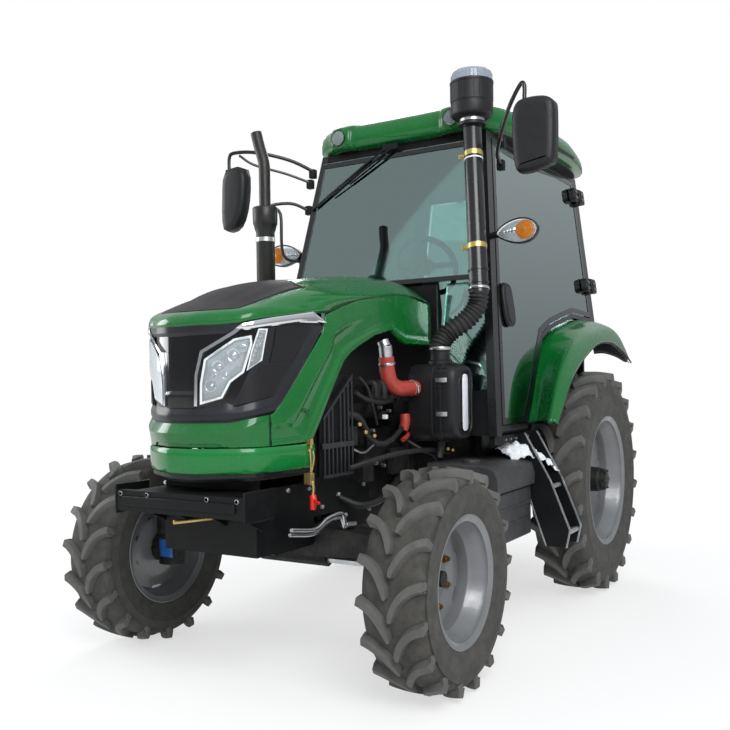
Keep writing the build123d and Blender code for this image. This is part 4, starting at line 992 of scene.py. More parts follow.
@dataclass(frozen=True)
class Mask:
    """The black mask across the nose: slate frame, gloss middle, lamps, blades and dark insets."""

    top: Table = ((0, 1533), (160, 1535), (273, 1542), (419, 1567), (665, 1600), (745, 1562))
    low: Table = ((0, 1146), (214, 1146), (329, 1164), (458, 1183), (745, 1548))
    frame_top: Table = ((0, 1207), (158, 1207), (206, 1224), (240, 1212), (414, 1247), (665, 1541), (745, 1556))
    band_low: Table = ((0, 1492), (242, 1500), (273, 1530))
    brow_top: Table = ((250, 1521), (273, 1541), (419, 1567), (665, 1602), (748, 1562))
    brow_low: Table = ((250, 1519), (290, 1512), (337, 1520), (554, 1551), (748, 1557))
    blade: Table = ((262, 1522), (242, 1504), (112, 1428), (88, 1334), (84, 1212))
    lamp_top: Table = ((106, 1224), (109, 1302), (126, 1398), (242, 1476), (305, 1488), (309, 1456))
    lamp_low: Table = ((106, 1223), (190, 1246), (223, 1308), (273, 1348), (309, 1455))
    lamp_edge: Table = (
        (106, 1223), (108, 1302), (126, 1396), (242, 1474), (305, 1486), (307, 1456), (273, 1346), (223, 1308),
        (190, 1246),
    )
    side_top: Table = ((290, 1354), (310, 1433), (342, 1514), (382, 1517))
    side_low: Table = ((290, 1353), (352, 1393), (366, 1457), (382, 1516))
    upper_top: Table = ((396, 1384), (419, 1458), (431, 1522), (646, 1542))
    upper_low: Table = ((396, 1382), (523, 1387), (646, 1540))
    lower_top: Table = ((244, 1214), (286, 1299), (358, 1368), (514, 1377))
    lower_low: Table = ((244, 1212), (402, 1251), (514, 1376))

    def pair(self, form: Form, name: str, finish: Finish, slot: str, **options) -> bpy.types.Object:
        """Makes a left form and its mirror image one piece of the bonnet.

        Args:
            form: The left form.
            name: The piece's name.
            finish: What it is made of.
            slot: Not used.
            **options: What else the piece is given.

        Returns:
            The new object.
        """
        made = form.mirrored().piece(name, finish, "bonnet", **options)
        return made

    def build(self) -> None:
        """Builds the mask and its lamps."""
        back = NOSE.slab(Form(), both(self.top), both(self.low), -12, 5)
        made = back.piece("mask_back", BLACK_GLOSS, "bonnet", angle=50)
        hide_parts("bonnet_mask")
        rim = NOSE.slab(
            Form(), both(self.frame_top), both(self.low), -3, 12,
            [(0, -6), (0.18, 2), (0.45, 3), (0.55, 2), (1, -8)],
        )
        rim.piece("mask_frame", GRAPHITE_SATIN, "bonnet", bevel=0.0015, angle=24)
        band = NOSE.slab(Form(), both(self.top[:3]), both(self.band_low), -1, 14, [(0, -7), (0.35, 0), (1, 0)])
        band.piece("mask_band", GRAPHITE_SATIN, "bonnet", bevel=0.0015, angle=24)
        step = NOSE.slab(
            Form(), both([(0, 1272), (78, 1272)]), both([(0, 1205), (74, 1205)]), -6, 8,
            [(0, 0), (0.8, 0), (1, -6)],
        )
        step.piece("mask_step", BLACK_GLOSS, "bonnet", bevel=0.001)
        cheek = NOSE.slab(
            Form(), [(300, 1352), (312, 1436), (345, 1520), (420, 1528), (668, 1548)],
            [(300, 1351), (360, 1375), (516, 1382), (668, 1540)], -6, 6,
        )
        NOSE.slab(
            cheek, [(232, 1212), (300, 1352), (362, 1384), (530, 1392)], [(232, 1210), (418, 1250), (530, 1391)],
            -6, 6,
        )
        self.pair(cheek, "mask_cheeks", GRAPHITE_SATIN, "mask_plastic", bevel=0.001, angle=30)
        insets = NOSE.slab(Form(), self.upper_top, self.upper_low, -2.5, 3)
        NOSE.slab(insets, self.lower_top, self.lower_low, -2.5, 3)
        self.pair(insets, "mask_insets", BLACK_INSET, "mask_plastic", bevel=0.0012, angle=30)
        brow = NOSE.slab(
            Form(), self.brow_top, self.brow_low, 5, 14, [(0, -2), (0.12, 1), (0.5, 2), (0.88, 0), (1, -4)], step=8,
        )
        NOSE.ribbon(brow, self.blade, [16, 13, 12, 11, 13], 3, 14)
        self.pair(brow, "mask_chrome", CHROME, "mask_plastic", bevel=0.0006, angle=24)
        bowl = NOSE.slab(
            Form(), self.lamp_top, self.lamp_low, -7, 3, [(0, 0), (0.25, -3), (0.5, 2), (0.75, -3), (1, 0)], step=9,
        )
        NOSE.slab(
            bowl, self.side_top, self.side_low, -6, 3, [(0, 0), (0.33, -3), (0.5, 2), (0.66, -3), (1, 0)], step=6,
        )
        self.pair(bowl, "headlamp_reflectors", REFLECTOR, "lamp_lens", angle=20)
        pods = Form()
        for a, z, r in (
            (146, 1292, 24), (176, 1368, 27), (236, 1412, 30), (160, 1330, 13), (275, 1440, 15), (205, 1330, 16),
        ):
            aim = NOSE.outward(a, z)
            spot = NOSE.spot(a, z, -6)
            pods.lathe(spot, aim, [
                (0.0, r / 1000), (0.006, r / 1000), (0.0065, r * 0.86 / 1000), (0.001, r * 0.5 / 1000),
                (0.003, r * 0.3 / 1000), (0.0055, r * 0.12 / 1000),
            ], 24)
        for k in range(7):
            a, z = 308 + 8.5 * k, 1395 + 19 * k
            aim = NOSE.outward(a, z)
            pods.lathe(NOSE.spot(a, z, -5), aim, [(0.0, 0.008), (0.004, 0.0075), (0.0045, 0.004)], 12)
        self.pair(pods, "headlamp_projectors", CHROME, "lamp_lens", angle=40)
        edge = NOSE.ribbon(Form(), self.lamp_edge, 9, 2.5, 10, closed=True)
        NOSE.ribbon(edge, [
            (290, 1354), (310, 1433), (343, 1515), (381, 1516), (366, 1457), (352, 1393),
        ], 6, 2.5, 9, closed=True)
        self.pair(edge, "headlamp_edges", LAMP_EDGE, "lamp_lens", bevel=0.001, angle=24)
        flutes = NOSE.slab(Form(), self.lamp_top, self.lamp_low, 1.5, 1.2, step=12)
        NOSE.slab(flutes, self.side_top, self.side_low, 1.5, 1.2, step=8)
        lens = self.pair(flutes, "headlamp_lenses", CLEAR_LENS, "lamp_lens", angle=30)
        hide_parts("headlamps")
        gasket = NOSE.ribbon(Form(), [(a, z) for a, z in self.lamp_edge], 22, 0, 8, closed=True)
        self.pair(gasket, "headlamp_gaskets", BLACK_GLOSS, "mask_plastic", angle=24)


@dataclass(frozen=True)
class NoseCover:
    """The green nose under the mask, and the band under it, in millimetres.

    foot is the height of its lower edge, and recess how far the notch over the latch plate lies back.
    """

    foot: float = 1044.0
    recess: float = 7.0
    top: Table = ((0, 1147), (214, 1147), (329, 1165), (390, 1171))
    ridge: Table = ((0, 1103), (242, 1106), (312, 1138), (345, 1150), (390, 1155))

    def build(self) -> None:
        """Builds the nose and its band."""
        rows = []
        for a in steps_over(-388, 388, 12, [-345, -312, -242, -214, 214, 242, 312, 345]):
            top, ridge = between(self.top, abs(a)), between(self.ridge, abs(a))
            proud = between([(0, 15), (242, 15), (345, 2), (390, 0)], abs(a))
            edge = between([(176, 1061), (211, 1029)], abs(a)) if abs(a) > 176 else 1061
            sunk = self.recess if abs(a) < 211 else 0
            row = [NOSE.spot(a, self.foot, -2 - sunk), NOSE.spot(a, self.foot + 3, -sunk)]
            edge = max(edge, self.foot + 4)
            row += [
                NOSE.spot(a, edge - 1, (edge - self.foot) / (ridge - self.foot) * proud - sunk),
                NOSE.spot(a, edge + 1.5, (edge + 2 - self.foot) / (ridge - self.foot) * proud),
            ]
            for f in (0.6, 0.9, 1.0):
                z = edge + 2 + (ridge - edge - 2) * f
                row.append(NOSE.spot(a, z, (z - self.foot) / (ridge - self.foot) * proud))
            for f in (0.1, 0.5, 0.9, 1.0):
                z = ridge + (top - ridge) * f
                row.append(NOSE.spot(a, z, proud * (1 - f) - 12 * f * (proud / 15)))
            rows.append(row)
        made = Form().grid([row[::-1] for row in rows]).piece(
            "nose_cover", GREEN_ENAMEL, "bonnet", angle=28, thick=0.004,
        )
        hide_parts("bonnet_nose")
        seam = Form()
        NOSE.ribbon(seam, [(390, self.foot), (390, 1100), (390, 1171)], 3, 0.6, 3)
        seam.mirrored().piece("nose_seams", BLACK_RUBBER, "bonnet")
        lip = NOSE.slab(
            Form(), both([(0, 1149), (214, 1149), (329, 1167), (392, 1174), (458, 1186)]),
            both([(0, 1138), (214, 1138), (329, 1156), (392, 1163), (458, 1176)]), -9, 20,
        )
        lip.piece("nose_gap", BLACK_RUBBER, "bonnet")
        band = []
        for a in steps_over(-650, 650, 14):
            band.append([
                NOSE.spot(a, z, out)
                for z, out in (
                    (1038, -9), (1038, -2), (1034, 1), (1010, 2), (972, 0), (950, -2), (944, -5), (941, -9),
                )
            ])
        # The band's skin takes the same enamel painted a tone lighter, as painted light.
        made = Form().grid([row[::-1] for row in band]).piece(
            "nose_band_skin", GREEN_ENAMEL_PAINTED_LIGHT, angle=35, thick=0.004,
        )
        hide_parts("nose_band")
        shelf = NOSE.slab(
            Form(), both([(0, 940), (655, 944)]), both([(0, 905), (655, 912)]), -8, 30,
            [(0, -10), (0.4, 0), (1, 0)],
        )
        shelf.piece("nose_shelf_lip", BLACK_ABS, bevel=0.002)


@dataclass(frozen=True)
class CabRoof:
    """The moulded green roof with its two lamp pods, black underside and dark side slots."""

    plan: Table = (
        (0, -925), (200, -925), (286, -930), (312, -948), (371, -956), (425, -948), (470, -908), (560, -838),
        (618, -740), (662, -540), (690, -250), (700, 60), (690, 330), (655, 560), (600, 670), (480, 722),
        (240, 735), (0, 738),
    )
    edge: Table = (
        (2694, 62), (2699, 30), (2712, 10), (2735, 1), (2770, 0), (2800, 5), (2822, 18), (2837, 42), (2846, 85),
        (2852, 170), (2856, 300), (2858, 520),
    )

    def loop(self, inset: float, z: float) -> list[Vector]:
        """The roof's outline at a height, drawn in by an inset.

        Args:
            inset: How far it is drawn in.
            z: The height.

        Returns:
            The outline's points.
        """
        half = spline([Vector((x, s, 0)) for x, s in self.plan], 5)
        points = half + [Vector((-p.x, p.y, 0)) for p in reversed(half[1:-1])]
        middle = Vector((0, -100, 0))
        out = []
        for p in points:
            away = p - middle
            q = middle + away * max(0.0, 1 - inset / away.length)
            fall = 70 * max(0.0, (q.y - 150) / 600) * min(1.0, max(0.0, (z - 2700) / 120))
            out.append(mm(q.x, q.y, z - fall))
        return out

    def build(self) -> None:
        """Builds the roof and its lamps."""
        skin = Form().grid([self.loop(inset, z) for z, inset in self.edge], ring=True)
        skin.faces.append(tuple(len(skin.points) - i - 1 for i in range(len(self.loop(0, 2700)))))
        for hand in (1, -1):
            skin.lathe(mm(hand * 371, -700, 2762), (0, -1, 0), [
                (0, 0.060), (0.20, 0.064), (0.232, 0.0635), (0.242, 0.060), (0.245, 0.055), (0.240, 0.050),
                (0.225, 0.049),
            ], 40)
        made = skin.piece("roof_skin", GREEN_ENAMEL, angle=38)
        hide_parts("cab_roof")
        under = Form().grid([self.loop(60, 2690), self.loop(60, 2697)], ring=True, caps=True)
        under.piece("roof_underside", BLACK_ABS, bevel=0.002)
        lens, shell, bezel = Form(), Form(), Form()
        for hand in (1, -1):
            spot = mm(hand * 371, -925, 2762)
            shell.lathe(spot, (0, -1, 0), [
                (0.0, 0.0455), (0.034, 0.0455), (0.035, 0.042), (0.008, 0.026), (0.004, 0.008),
            ], 40)
            for i in range(7):
                t = 2 * math.pi * i / 6
                r = 0.022 if i < 6 else 0.0
                shell.lathe(
                    spot + Vector((r * math.cos(t), -0.010, r * math.sin(t))), (0, -1, 0),
                    [(0, 0.0095), (0.010, 0.0095), (0.006, 0.004)], 16,
                )
            lens.lathe(spot, (0, -1, 0), [(0.033, 0.041), (0.036, 0.036), (0.0375, 0.02), (0.038, 0.004)], 40)
            bezel.lathe(spot, (0, -1, 0), [
                (0.028, 0.047), (0.036, 0.047), (0.037, 0.0435), (0.030, 0.0425),
            ], 40, closed=True)
        made = shell.piece("work_lamp_reflectors", REFLECTOR, angle=30)
        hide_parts("work_lamps")
        lens.piece("work_lamp_lenses", CLEAR_LENS)
        bezel.piece("work_lamp_bezels", BLACK_ABS)
        slots = Form()
        slots.prism([
            mm(697, -111, 2712), mm(697, 230, 2728), mm(700, 235, 2742), mm(700, -111, 2738),
        ], (0.004, 0, 0))
        slots.mirrored().piece("roof_side_slots", BLACK_ABS, bevel=0.001)


def side_plane(station: float, z: float, out: float = 0.0, hand: int = 1) -> Vector:
    """The point of the cab's side at a station and height, so many millimetres out."""
    return mm(hand * (900 - 0.125 * z + 0.025 * station + out), station, z)


def pillar(z: float) -> float:
    """The station of the front pillar at a height."""
    return -843 - 0.2288 * (2650 - z)


def inset(outline: Table, width: float) -> list[tuple[float, float]]:
    """An outline's points drawn in by a width; negative draws out.

    Args:
        outline: The closed outline.
        width: How far its edges move in.

    Returns:
        The new outline.
    """
    n = len(outline)
    turn = sum(outline[i][0] * outline[(i + 1) % n][1] - outline[(i + 1) % n][0] * outline[i][1] for i in range(n))
    hand = 1 if turn > 0 else -1
    points = []
    for i in range(n):
        here = Vector(outline[i])
        before = (here - Vector(outline[i - 1])).normalized()
        after = (Vector(outline[(i + 1) % n]) - here).normalized()
        a, b = Vector((-before.y, before.x)), Vector((-after.y, after.x))
        way = (a + b).normalized()
        points.append(tuple(here + way * (hand * width / max(way.dot(a), 0.4))))
    return points


def rounded(outline: Table, steps: int = 5) -> list[tuple[float, float]]:
    """A closed outline turned to a smooth curve through its points.

    Args:
        outline: The closed outline.
        steps: Steps between two of its points.

    Returns:
        The smooth outline.
    """
    points = [Vector((*p, 0)) for p in outline]
    n = len(points)
    path = []
    for i in range(n):
        a, b, c, d = points[i - 1], points[i], points[(i + 1) % n], points[(i + 2) % n]
        for k in range(steps):
            t = k / steps
            q = bend(a, b, c, d, t)
            path.append((q.x, q.y))
    return path


def plate(outline: Table, steps: Table) -> list[list[Vector]]:
    """Rows of an outline seen from ahead, one for each (station, drawn in) pair."""
    return [[mm(x, station, z) for x, z in inset(outline, drawn)] for station, drawn in steps]


def clamp(form: Form, spot: Vector, axis: Vector, radius: float, width: float = 0.012) -> None:
    """Adds a hose clamp: its band and the housing of its screw.

    Args:
        form: The form that it is added to.
        spot: The middle of the band.
        axis: The way that the hose runs.
        radius: The band's inner radius.
        width: The band's width.
    """
    axis = Vector(axis).normalized()
    h = width / 2
    form.lathe(spot, axis, [
        (-h, radius), (-h, radius + 0.0015), (-h * 0.6, radius + 0.0025), (h * 0.6, radius + 0.0025),
        (h, radius + 0.0015), (h, radius),
    ], 40, closed=True)
    side = Vector((0, -1, 0)) - axis * axis.dot(Vector((0, -1, 0)))
    side.normalize()
    way = axis.cross(side).normalized()
    screw = spot + side * (radius + 0.006)
    form.bar(screw - way * 0.014, screw + way * 0.014, 0.006, 12)
    form.bar(screw + way * 0.014, screw + way * 0.022, 0.0045, 6)


@dataclass
class IntakeStack:
    """The upright intake pipe with its bellows, bands and precleaner, in millimetres."""

    foot: Point = (628, -1190, 1765)
    head: Point = (528, -1020, 2672)
    neck: Point = (465, -1322, 1452)
    radius: float = 50.0

    def axis_at(self, z: float) -> Vector:
        """The point on the pipe's axis at a height."""
        a, b = mm(*self.foot), mm(*self.head)
        return a.lerp(b, (z / 1000 - a.z) / (b.z - a.z))

    def build(self) -> None:
        """Builds the pipe, the bellows, the bands and the precleaner."""
        foot, head, neck = mm(*self.foot), mm(*self.head), mm(*self.neck)
        way = (head - foot).normalized()
        r = self.radius / 1000
        pipe = Form().lathe(foot - way * 0.02, way, [(0, r), ((head - foot).length + 0.02, r)], 48)
        made = pipe.piece("intake_stack", BLACK_SATIN, bevel=0.001, angle=50)
        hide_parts("intake_pipe")
        path = [
            neck - Vector((0, 0, 0.02)), neck + Vector((0, 0, 0.035)), mm(500, -1286, 1545), mm(572, -1232, 1610),
            mm(618, -1198, 1680), foot,
        ]
        bellows = Form().tube(path, lambda t: 0.049 + (
            0.005 * math.sin(t * 2 * math.pi * 21) if 0.06 < t < 0.96 else 0.002
        ), 36, 26)
        bellows.piece("intake_bellows", BLACK_RUBBER, angle=70)
        bands = Form()
        for z in (2507, 1997):
            bands.lathe(
                self.axis_at(z), way, [(-0.014, r), (-0.014, r + 0.002), (0.014, r + 0.002), (0.014, r)], 48,
                closed=True,
            )
            spot = self.axis_at(z)
            bands.box(spot + Vector((-0.085, -0.004, -0.012)), spot + Vector((-0.045, 0.004, 0.012)))
            bands.bar(spot + Vector((-0.066, -0.016, 0)), spot + Vector((-0.066, 0.018, 0)), 0.006, 6)
        bands.piece("stack_bands", YELLOW_ZINC, bevel=0.0006)
        ties = Form()
        ties.lathe(
            self.axis_at(2478), way, [(-0.004, r), (-0.004, r + 0.0015), (0.004, r + 0.0015), (0.004, r)], 48,
            closed=True,
        )
        ties.piece("stack_tie", WHITE_FILM)
        clips = Form()
        clamp(clips, foot + way * 0.005, way, 0.0535)
        clamp(clips, neck + Vector((0, 0, 0.012)), Vector((0, 0, 1)), 0.0545, 0.015)
        clips.piece("bellows_clamps", BRIGHT_ZINC)
        stem = Form()
        for z in (1800, 1870):
            spot = self.axis_at(z)
            stem.lathe(spot, way, [
                (-0.006, r), (-0.006, r + 0.004), (0.006, r + 0.004), (0.006, r),
            ], 40, closed=True)
        stem.piece("stack_ribs", BLACK_SATIN)
        self.precleaner(mm(528, -1020, 0))

    def precleaner(self, foot: Vector) -> None:
        """Builds the precleaner round an upright axis.

        Args:
            foot: The point of its axis at the ground.
        """
        up = Vector((0, 0, 1))
        low = [(2660, 50), (2672, 52), (2672, 74), (2690, 74), (2690, 62)]
        Form().lathe(foot, up, metres(low), 48).piece("precleaner_flange", BLACK_ABS, bevel=0.001)
        collar = [(2688, 60), (2688, 67), (2708, 67), (2708, 60)]
        Form().lathe(foot, up, metres(collar), 48, closed=True).piece("precleaner_collar", BRIGHT_ZINC, bevel=0.001)
        shell = [
            (2706, 60), (2708, 78), (2716, 102), (2724, 112), (2732, 115), (2784, 115), (2787, 112), (2792, 112),
            (2795, 115), (2890, 115), (2893, 118), (2903, 118), (2906, 114), (2908, 100), (2906, 30),
        ]
        body = Form().lathe(foot, up, metres(shell), 72)
        for t in turns(24):
            a = foot + Vector((0.1145 * math.cos(t), 0.1145 * math.sin(t), 0))
            body.bar(a + up * 2.800, a + up * 2.888, 0.0025, 6)
        made = body.piece("precleaner_body", BLACK_ABS, angle=40)
        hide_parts("precleaner")
        dome = [(2900, 111), (2944, 110), (2952, 108), (2959, 101), (2962, 88), (2964, 40), (2964, 4)]
        bowl = Form().lathe(foot, up, metres(dome), 72)
        for t in turns(36):
            a = foot + Vector((0.1105 * math.cos(t), 0.1105 * math.sin(t), 0))
            bowl.bar(a + up * 2.906, a + up * 2.942, 0.0022, 6)
        bowl.piece("precleaner_bowl", BOWL_LENS, angle=50)
        vanes = Form().lathe(foot, up, [(2.906, 0.06), (2.940, 0.045), (2.952, 0.012)], 32)
        for t in turns(12):
            a = foot + Vector((0.045 * math.cos(t), 0.045 * math.sin(t), 2.924))
            b = foot + Vector((0.098 * math.cos(t + 0.3), 0.098 * math.sin(t + 0.3), 2.914))
            vanes.bar(a, b, 0.006, 6)
        vanes.piece("precleaner_vanes", WHITE_FILM)


@dataclass
class AirBox:
    """The air cleaner: an upright oval box with a ribbed cover and its blank label, in millimetres."""

    station: float = -1320.0
    height: float = 1186.0
    wide: float = 250.0
    tall: float = 398.0

    def ring(self, x: float, scale: float = 0.0) -> list[Vector]:
        """Its outline at a place across the tractor, drawn in by so many millimetres.

        Args:
            x: The place across the tractor.
            scale: How far the outline is drawn in.

        Returns:
            The outline's points.
        """
        r, straight = self.wide / 2 - scale, (self.tall - self.wide) / 2
        points = []
        for t in turns(64):
            c, s = math.cos(t), math.sin(t)
            lobe = (abs(c) ** 3.2 + abs(s) ** 3.2) ** (-1 / 3.2)
            points.append(mm(
                x, self.station + r * lobe * c, self.height + (straight if s > 0 else -straight) + r * lobe * s,
            ))
        return points

    def build(self) -> None:
        """Builds the box, its cover, ribs, label and clips."""
        steps = [
            (332, 60), (333, 14), (340, 2), (352, 0), (470, 0), (474, 5), (482, 5), (486, 0), (508, 0), (511, -5),
            (521, -5), (524, 0), (560, 1), (582, 6), (594, 15), (600, 28), (600, 38), (594, 42), (594, 56),
            (599, 60), (599, 70), (593, 74), (593, 86), (597, 90), (597, 122),
        ]
        body = Form().grid([self.ring(x, s) for x, s in steps], ring=True, caps=True)
        for i in range(24):
            a, b = self.ring(490, -1)[int(i * 64 / 24)], self.ring(545, -1)[int(i * 64 / 24)]
            body.bar(a, b, 0.003, 6)
        body.lathe(mm(465, -1322, 1370), (0, 0, 1), [(0, 0.062), (0.03, 0.062), (0.035, 0.052), (0.085, 0.052)], 40)
        made = body.piece("air_box", BLACK_ABS, angle=42)
        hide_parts("air_cleaner")
        label = Form().grid([self.ring(600.5, 92), self.ring(601.5, 94)], ring=True, caps=True)
        label.points = [
            Vector((p.x, p.y, mm(0, 0, self.height).z + (p.z - mm(0, 0, self.height).z) * 1.35))
            for p in label.points
        ]
        label.piece("air_box_label", WHITE_FILM)
        clips = Form()
        for z in (1290, 1120):
            clips.prism([
                mm(500, -1447, z), mm(560, -1445, z), mm(560, -1452, z), mm(538, -1460, z), mm(500, -1456, z),
            ], (0, 0, 0.022))
        clips.piece("air_box_clips", BRIGHT_ZINC, bevel=0.001)
        drain = Form().tube([
            mm(465, -1330, 1010), mm(465, -1335, 950), mm(465, -1350, 900),
        ], lambda t: 0.026 - 0.008 * t, 16)
        drain.piece("air_box_drain", BLACK_RUBBER)
        hose = Form().tube([
            mm(313, -1622, 1420), mm(313, -1612, 1350), mm(322, -1592, 1290), mm(342, -1550, 1264),
            mm(362, -1500, 1262), mm(380, -1440, 1262),
        ], 0.039, 32, 8)
        made = hose.piece("red_elbow", RED_SILICONE, angle=60)
        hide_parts("intake_hose")
        sleeve = Form().bar(mm(313, -1630, 1476), mm(313, -1618, 1405), 0.033, 32)
        sleeve.bar(mm(300, -1632, 1500), mm(313, -1630, 1470), 0.030, 32)
        sleeve.piece("turbo_sleeve", BRIGHT_ZINC, bevel=0.002)
        bands = Form()
        clamp(bands, mm(313, -1615, 1385), mm(313, -1622, 1420) - mm(313, -1612, 1350), 0.040)
        clamp(bands, mm(372, -1466, 1262), Vector((0.3, 1, 0)), 0.040)
        bands.piece("elbow_clamps", BRIGHT_ZINC)


@dataclass
class CabTrim:
    """Seals, printed borders, handles, hinges, mirrors, signals and the wiper of the cab, in millimetres.

    glass is how far the windscreen's outer face lies ahead of the front pillars' line.
    """

    glass: float = 36.0
    border: float = 34.0
    door: Table = (
        (552, 2655), (552, 1712), (187, 1725), (-61, 1678), (-260, 1633), (-430, 1569), (-583, 1385), (-741, 1182),
        (-848, 1065),
    )

    def strip(self, form: Form, outline: Table, width: float, out: float, depth: float, hand: int) -> None:
        """Adds a border just inside an outline on the cab's side.

        Args:
            form: The form that it is added to.
            outline: The outline as (station, height) pairs.
            width: The border's width.
            out: How far its face stands out.
            depth: Its thickness.
            hand: 1 on the left, -1 on the right.
        """
        inner = inset(outline, width)
        rings = [
            [
                side_plane(*outline[i], out, hand), side_plane(*inner[i], out, hand),
                side_plane(*inner[i], out - depth, hand), side_plane(*outline[i], out - depth, hand),
            ]
            for i in range(len(outline))
        ]
        form.grid(rings if hand < 0 else rings[::-1], ring=True, loop=True)

    def build(self) -> None:
        """Builds the trim of both sides."""
        outline = [(pillar(1065) + 42, 1065), (pillar(2655) + 42, 2655), *self.door]
        for place in Side:
            side, hand = place.word, place.hand
            frit = Form()
            self.strip(frit, outline, self.border, 3.0, 9, hand)
            frit.piece(f"door_border_{side}", BLACK_GLOSS, f"door_{side}")
            plate = rounded([
                (-955, 1600), (-880, 1590), (-845, 1640), (-850, 1780), (-885, 1822), (-955, 1812), (-972, 1705),
            ], 4)
            handle, grip = Form(), Form()
            handle.prism([side_plane(s, z, 2, hand) for s, z in plate], (hand * 0.022, 0, 0))
            grip.prism([side_plane(s, z, 22, hand) for s, z in inset(plate, 24)], (hand * 0.006, 0, 0))
            made = handle.piece(f"door_handle_{side}", BLACK_ABS, f"door_{side}", bevel=0.008, steps=3)
            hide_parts(f"door_fittings_{side}")
            grip.piece(f"door_grip_{side}", GRAPHITE_SATIN, f"door_{side}", bevel=0.003)
            pads, ribs, knuckles, lugs = Form(), Form(), Form(), Form()
            for z in (2550, 1930):
                for form, ends in (
                    (pads, ((502, 46), (448, 42), (434, 24))), (knuckles, ((562, 50), (638, 50), (650, 32))),
                ):
                    pad = [(s, z + tall) for s, tall in ends] + [(s, z - tall) for s, tall in reversed(ends)]
                    form.prism([side_plane(s, q, 4, hand) for s, q in pad], (hand * 0.040, 0, 0))
                pads.prism([
                    side_plane(s, q, 4, hand)
                    for s, q in ((500, z - 30), (540, z - 26), (540, z + 26), (500, z + 30))
                ], (hand * 0.008, 0, 0))
                for dz in (-19, 19):
                    for form, near, far in ((ribs, 450, 496), (lugs, 568, 628)):
                        slot = [(near, z + dz - 9), (far, z + dz - 9), (far, z + dz + 9), (near, z + dz + 9)]
                        form.prism([side_plane(s, q, 42, hand) for s, q in slot], (hand * 0.008, 0, 0))
            pads.piece(f"hinge_blocks_{side}", BLACK_ABS, f"door_{side}", bevel=0.008, steps=3)
            ribs.piece(f"hinge_ribs_{side}", BLACK_GLOSS, f"door_{side}", bevel=0.003)
            knuckles.piece(f"hinge_knuckles_{side}", BLACK_ABS, bevel=0.008, steps=3)
            lugs.piece(f"hinge_lugs_{side}", BLACK_GLOSS, bevel=0.003)
            seal = Form()
            seal.prism([
                side_plane(pillar(1065) - 8, 1065, -1, hand), side_plane(pillar(2655) - 8, 2655, -1, hand),
                side_plane(pillar(2655) + 40, 2655, -1, hand), side_plane(pillar(1065) + 40, 1065, -1, hand),
            ], (-hand * 0.02, 0, 0))
            seal.piece(f"pillar_seal_{side}", BLACK_SATIN, bevel=0.003)
        self.screen()
        self.mirrors()
        self.signals()

    def screen(self) -> None:
        """Builds the printed border of the windscreen and its wiper."""
        outer = [(-618, 1842), (618, 1842), (528, 2636), (-528, 2636)]
        inner = inset(outer, 26)

        def face(x: float, z: float, out: float) -> Vector:
            """A point over the windscreen."""
            return mm(x, pillar(z) - self.glass - out, z)

        frit = Form().grid([
            [face(*outer[i], 9), face(*inner[i], 9), face(*inner[i], 5), face(*outer[i], 5)] for i in range(4)
        ], ring=True, loop=True)
        frit.piece("screen_border", BLACK_GLOSS)
        arm = Form()
        arm.bar(face(-20, 2668, 34), face(-300, 2500, 30), 0.007, 10)
        arm.bar(face(-300, 2500, 30), face(-420, 2420, 18), 0.005, 10)
        arm.bar(face(-75, 2668, 34), face(-330, 2500, 26), 0.005, 10)
        arm.box(face(-90, 2690, 44), face(10, 2655, 20))
        arm.piece("wiper_arm", BLACK_POWDER, bevel=0.001)
        blade = Form()
        blade.prism([
            face(-560, 2345, 9), face(-180, 2610, 9), face(-184, 2618, 9), face(-564, 2353, 9),
        ], (0, -0.014, 0))
        blade.piece("wiper_blade", BLACK_RUBBER, bevel=0.001)

    def mirrors(self) -> None:
        """Builds both mirrors on their bent arms."""
        left = [
            (862, 2676), (914, 2696), (1001, 2692), (1046, 2668), (1060, 2615), (1054, 2390), (1022, 2352),
            (888, 2330), (851, 2380), (840, 2596),
        ]
        right = [(-1040, 2596), (-900, 2606), (-893, 2416), (-950, 2262), (-1056, 2248), (-1066, 2438)]
        shells, glass = Form(), Form()
        for outline, station in ((left, -1262), (right, -1225)):
            edge = rounded(outline, 3)
            rings = plate(edge, [
                (station + y, drawn)
                for y, drawn in ((0, 40), (3, 14), (16, 2), (36, 0), (76, 0), (80, 4), (76, 9), (70, 12))
            ])
            shells.grid([ring[::-1] for ring in rings], ring=True, caps=True)
            glass.grid([
                row[::-1] for row in plate(edge, ((station + 70, 12), (station + 74, 12)))
            ], ring=True, caps=True)
        made = shells.piece("mirror_shells", BLACK_ABS, angle=45)
        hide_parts("mirrors")
        glass.piece("mirror_glasses", SILVERED_GLASS)
        arms = Form()
        arms.tube([
            mm(640, -900, 2470), mm(667, -1010, 2512), mm(735, -1120, 2580), mm(800, -1180, 2680),
            mm(868, -1200, 2778), mm(893, -1205, 2772), mm(893, -1208, 2690),
        ], 0.011, 12, 6)
        arms.tube([
            mm(650, -905, 2590), mm(700, -1040, 2620), mm(790, -1150, 2690), mm(840, -1195, 2750),
        ], 0.008, 10, 5)
        arms.tube([
            mm(-585, -890, 2600), mm(-700, -1000, 2668), mm(-860, -1120, 2712), mm(-985, -1178, 2716),
            mm(-1020, -1186, 2690), mm(-1024, -1186, 2600),
        ], 0.011, 12, 6)
        arms.tube([
            mm(-600, -905, 2530), mm(-720, -1010, 2585), mm(-880, -1120, 2640), mm(-960, -1165, 2700),
        ], 0.008, 10, 5)
        arms.tube([
            mm(-640, -960, 2040), mm(-720, -1050, 2080), mm(-730, -1060, 2330), mm(-790, -1075, 2385),
            mm(-690, -1000, 2400), mm(-610, -930, 2360),
        ], 0.010, 12, 5)
        arms.piece("mirror_arms", BLACK_SATIN)
        mounts = Form()
        for x, s, z in (
            (640, -895, 2470), (648, -900, 2590), (-600, -893, 2590), (-612, -905, 2525), (-640, -955, 2040),
            (-612, -925, 2360),
        ):
            mounts.box(mm(x - 20, s - 18, z - 28), mm(x + 20, s + 22, z + 28))
